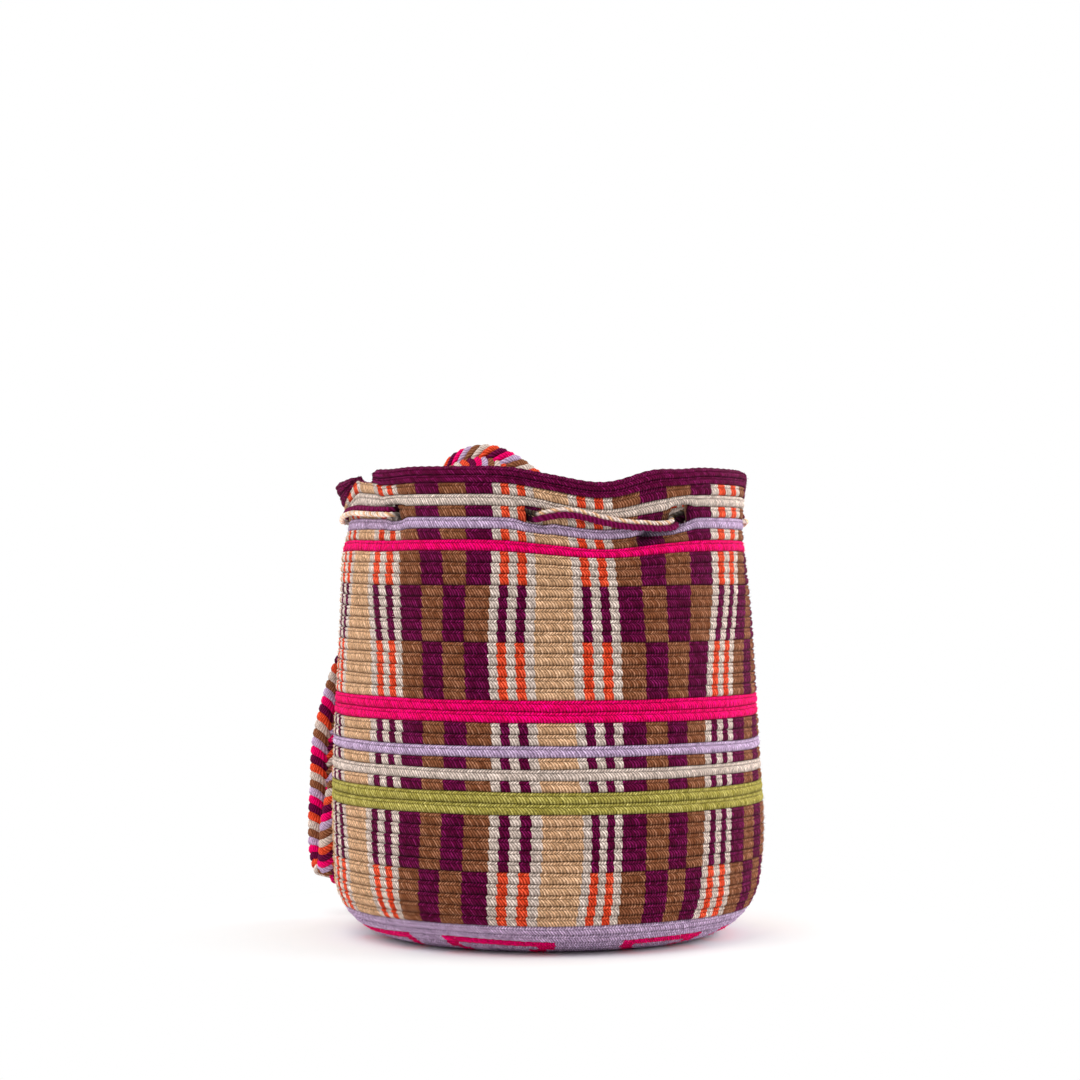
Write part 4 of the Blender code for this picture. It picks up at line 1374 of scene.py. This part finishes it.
class Finish:
    """The nodes of a material or of the world."""

    def __init__(self, owner, shader="Principled BSDF"):
        owner.use_nodes = True
        self.owner = owner
        self.tree = owner.node_tree
        self.shader = self.tree.nodes[shader]

    def node(self, kind, settings, inputs, output=0):
        """Adds a node, sets it, and gives its sockets values or links."""
        node = self.tree.nodes.new(kind)
        for name, value in settings.items():
            setattr(node, name, value)
        self.give(node, inputs)
        return Wire(self, node.outputs[output])

    def give(self, node, inputs):
        for name, value in inputs.items():
            if isinstance(value, Wire):
                self.tree.links.new(value.socket, node.inputs[name])
            else:
                node.inputs[name].default_value = value

    def yarn_inputs(self):
        """The two numbers that follow the yarn, its colour, and the place on the object."""
        uv = self.node("ShaderNodeUVMap", {"uv_map": LINES_LAYER}, {})
        u, v = (self.node("ShaderNodeSeparateXYZ", {}, {0: uv}, axis) for axis in (0, 1))
        colour = self.node("ShaderNodeVertexColor", {"layer_name": COLOUR_LAYER}, {})
        return u, v, colour, self.node("ShaderNodeTexCoord", {}, {}, "Object")

    def noise(self, where, scale, detail, roughness=0.5):
        inputs = {"Vector": where, "Scale": scale, "Detail": detail, "Roughness": roughness}
        return self.node("ShaderNodeTexNoise", {}, inputs)

    def combined(self, *values):
        return self.node("ShaderNodeCombineXYZ", {}, dict(enumerate(values)))

    def yarn(self, colour, light, gloss, height):
        """Matt yarn: its colour goes over to a paler one by gloss, a painted highlight, and is then
        times light, which holds painted light and shade.
        """
        pale = self.node("ShaderNodeGamma", {}, {"Color": colour, "Gamma": HIGHLIGHT_GAMMA})
        hue = self.node("ShaderNodeMix", {"data_type": "RGBA"}, {0: gloss, 6: colour, 7: pale}, 2)
        grey = self.combined(light, light, light)
        tint = self.node("ShaderNodeVectorMath", {"operation": "MULTIPLY"}, {0: hue, 1: grey})
        bump = {"Strength": BUMP_STRENGTH, "Distance": 1.0, "Height": height}
        bump = self.node("ShaderNodeBump", {}, bump)
        self.give(self.shader, {"Base Color": tint, "Normal": bump, **YARN_FINISH})
        return self.owner

    def turn_white(self, kind, share, output):
        """What is seen directly goes over to plain white. The light on things stays as it is."""
        white = self.node(kind, {}, {"Color": WHITE, "Strength": 1.0})
        inputs = {0: share, 1: Wire(self, self.shader.outputs[0]), 2: white}
        mixed = self.node("ShaderNodeMixShader", {}, inputs)
        self.give(self.tree.nodes[output], {"Surface": mixed})

    def seen_directly(self):
        """1 for what the camera, a gloss or a clear thing sees, and 0 for the light on things."""
        camera, gloss, clear = (
            self.node("ShaderNodeLightPath", {}, {}, f"Is {kind} Ray")
            for kind in ("Camera", "Glossy", "Transmission")
        )
        return camera.larger(gloss).larger(clear)


def crochet_material():
    """Spun yarn in stitches: the plies lean one way in the body of a round and the other way along
    its top, and each stitch, ply and fibre is a little lighter or darker than the next."""
    finish = Finish(bpy.data.materials.new("crocheted_yarn"))
    u, v, colour, where = finish.yarn_inputs()
    place = v.fraction()
    in_top = place.above(TOP_START)
    body = u + place * place * 3.0
    top = u - place * 3.2
    phase = body + in_top * (top - body) + finish.noise(where, 90.0, 2.0) * 1.2
    plies = phase.waves() ** 0.7
    row = v.floor() * 2.0 + in_top
    ply = finish.combined(phase.floor(), row, 0.0)
    each = finish.node("ShaderNodeTexWhiteNoise", {"noise_dimensions": "2D"}, {0: ply})
    fibres = finish.noise(finish.combined(phase * 5.0, place * 3.0 + u * 0.2, row), 1.0, 3.0)
    specks = finish.noise(where, 760.0, 1.0)
    # Light: painted shade in the grooves between plies, times tone that differs at random by ply,
    # fibre and speck
    spun = (plies * 0.66 + 0.46) * (each * 0.34 + 0.84)
    light = spun * (fibres * 0.9 + 0.55) * (specks * 1.4 + 0.29)
    # Gloss: a painted highlight on the plies' crests, where the yarn goes over to a paler hue
    gloss = plies * plies * each * specks * 0.8
    return finish.yarn(colour, light, gloss, plies * 0.00035 + fibres * 0.00025)


def cord_material(name, plies_round, plies_along):
    """Spun yarn in a cord or a braid: fine plies that wind round each strand."""
    finish = Finish(bpy.data.materials.new(name))
    u, v, colour, where = finish.yarn_inputs()
    plies = (u * plies_round + v * plies_along).waves()
    specks = finish.noise(where, 620.0, 3.0, 0.7)
    # Painted shade in the grooves between plies, times speckled tone that differs at random
    light = (plies * 0.55 + 0.72) * (specks * 1.4 + 0.3)
    # A painted highlight on the plies' crests, where the yarn goes over to a paler hue
    gloss = plies * plies * specks * 0.45
    return finish.yarn(colour, light, gloss, plies * 0.0003 + specks * 0.0002)


# The stage


def add_floor(settings):
    """A wide pale square. Away from the bag it turns to the plain white of the background."""
    finish = Finish(bpy.data.materials.new("pale_floor"))
    plain = {"Base Color": (*settings.floor, 1.0), "Roughness": 1.0, "Specular IOR Level": 0.0}
    finish.give(finish.shader, plain)
    where = finish.node("ShaderNodeTexCoord", {}, {}, "Object")
    distance = finish.node("ShaderNodeVectorMath", {"operation": "LENGTH"}, {0: where}, 1)
    smooth = {"interpolation_type": "SMOOTHSTEP"}
    far = finish.node("ShaderNodeMapRange", smooth, {"Value": distance, **FLOOR_FADE})
    share = finish.seen_directly() * far
    finish.turn_white("ShaderNodeEmission", share, "Material Output")
    corners = np.array([[-1, -1, 0], [1, -1, 0], [1, 1, 0], [-1, 1, 0]]) * FLOOR_HALF
    floor = add_mesh("floor", corners, [np.array([[0, 1, 2, 3]])], finish.owner)


def add_world(settings):
    """Even light from all round, and a plain white background."""
    world = bpy.data.worlds.new("white_surround")
    bpy.context.scene.world = world
    finish = Finish(world, "Background")
    finish.give(finish.shader, {"Color": WHITE, "Strength": settings.ambient})
    finish.turn_white("ShaderNodeBackground", finish.seen_directly(), "World Output")


def add_light(name, place, size, power):
    """A square light that faces the bag."""
    data = bpy.data.lights.new(name, "AREA")
    data.shape = "SQUARE"
    data.size = size
    data.energy = power
    light = bpy.data.objects.new(name, data)
    light.location = place
    x, y, z = np.array(LIGHT_TARGET) - place
    tilt = math.atan2(math.hypot(x, y), -z)
    light.rotation_euler = (tilt, 0.0, math.atan2(y, x) - math.pi / 2)
    bpy.context.scene.collection.objects.link(light)


def add_camera():
    """The camera stands level in front of the bag, at a long lens, as the photograph's did."""
    data = bpy.data.cameras.new("camera")
    data.lens = CAMERA_LENS
    data.sensor_width = SENSOR
    data.sensor_fit = "HORIZONTAL"
    data.clip_start = CLIP_START
    camera = bpy.data.objects.new("camera", data)
    camera.location = CAMERA_PLACE
    camera.rotation_euler = (math.pi / 2, 0.0, 0.0)
    bpy.context.scene.collection.objects.link(camera)
    bpy.context.scene.camera = camera


# Operators


class BAG_OT_stage(bpy.types.Operator):
    """Adds the camera, the lights, the surround and the floor"""

    bl_idname = "bag.stage"
    bl_label = "Make Stage"

    def execute(self, context):
        settings = context.scene.bag_stage
        context.scene.view_settings.view_transform = "Standard"
        add_camera()
        add_world(settings)
        add_floor(settings)
        for name, place, size, setting, share in LIGHTS:
            add_light(name, place, size, getattr(settings, setting) * share)
        return {"FINISHED"}


class BAG_OT_strap(bpy.types.Operator):
    """Adds the braided strap"""

    bl_idname = "bag.strap"
    bl_label = "Make Strap"

    def execute(self, context):
        make_strap(cord_material("braid_yarn", 4.0, 8.0))
        return {"FINISHED"}


class BAG_OT_drawstring(bpy.types.Operator):
    """Adds the drawstring, its tie knot, its two tails and their end knots"""

    bl_idname = "bag.drawstring"
    bl_label = "Make Drawstring"

    def execute(self, context):
        material = cord_material("cord_yarn", 2.0, 0.5)
        make_tie_and_tails(material)
        make_drawstring(material)
        return {"FINISHED"}


class BAG_OT_wall(bpy.types.Operator):
    """Adds the crocheted wall in bands, and the base"""

    bl_idname = "bag.wall"
    bl_label = "Make Wall and Base"

    def execute(self, context):
        material = crochet_material()
        pieces = [base_disc(material)] + [wall_band(*band, material) for band in WALL_BANDS]
        for piece in pieces:
            finish_piece(piece, "crocheted_yarn", "bag_body")
        return {"FINISHED"}


class BAG_PT_panel(bpy.types.Panel):
    """The bag's settings and steps"""

    bl_idname = "BAG_PT_panel"
    bl_label = "Crocheted Bucket Bag"
    bl_space_type = "VIEW_3D"
    bl_region_type = "UI"
    bl_category = "Bag"

    def draw(self, context):
        for group, _ in GROUPS:
            settings = getattr(context.scene, group)
            box = self.layout.box()
            for name in settings.__annotations__:
                box.prop(settings, name)
        for operator in OPERATORS:
            self.layout.operator(operator.bl_idname)


GROUPS = (
    ("bag_yarns", BagYarns),
    ("bag_wall", BagWallSizes),
    ("bag_cords", BagCordSizes),
    ("bag_strap", BagStrapSizes),
    ("bag_stage", BagStage),
)
OPERATORS = (BAG_OT_stage, BAG_OT_strap, BAG_OT_drawstring, BAG_OT_wall)


def register():
    for name, group in GROUPS:
        bpy.utils.register_class(group)
        setattr(bpy.types.Scene, name, bpy.props.PointerProperty(type=group))
    for operator in OPERATORS:
        bpy.utils.register_class(operator)
    bpy.utils.register_class(BAG_PT_panel)


def unregister():
    bpy.utils.unregister_class(BAG_PT_panel)
    for operator in reversed(OPERATORS):
        bpy.utils.unregister_class(operator)
    for name, group in reversed(GROUPS):
        delattr(bpy.types.Scene, name)
        bpy.utils.unregister_class(group)


def main():
    register()
    bpy.ops.bag.stage()
    bpy.ops.bag.strap()
    bpy.ops.bag.drawstring()
    bpy.ops.bag.wall()


if __name__ == "__main__":
    main()
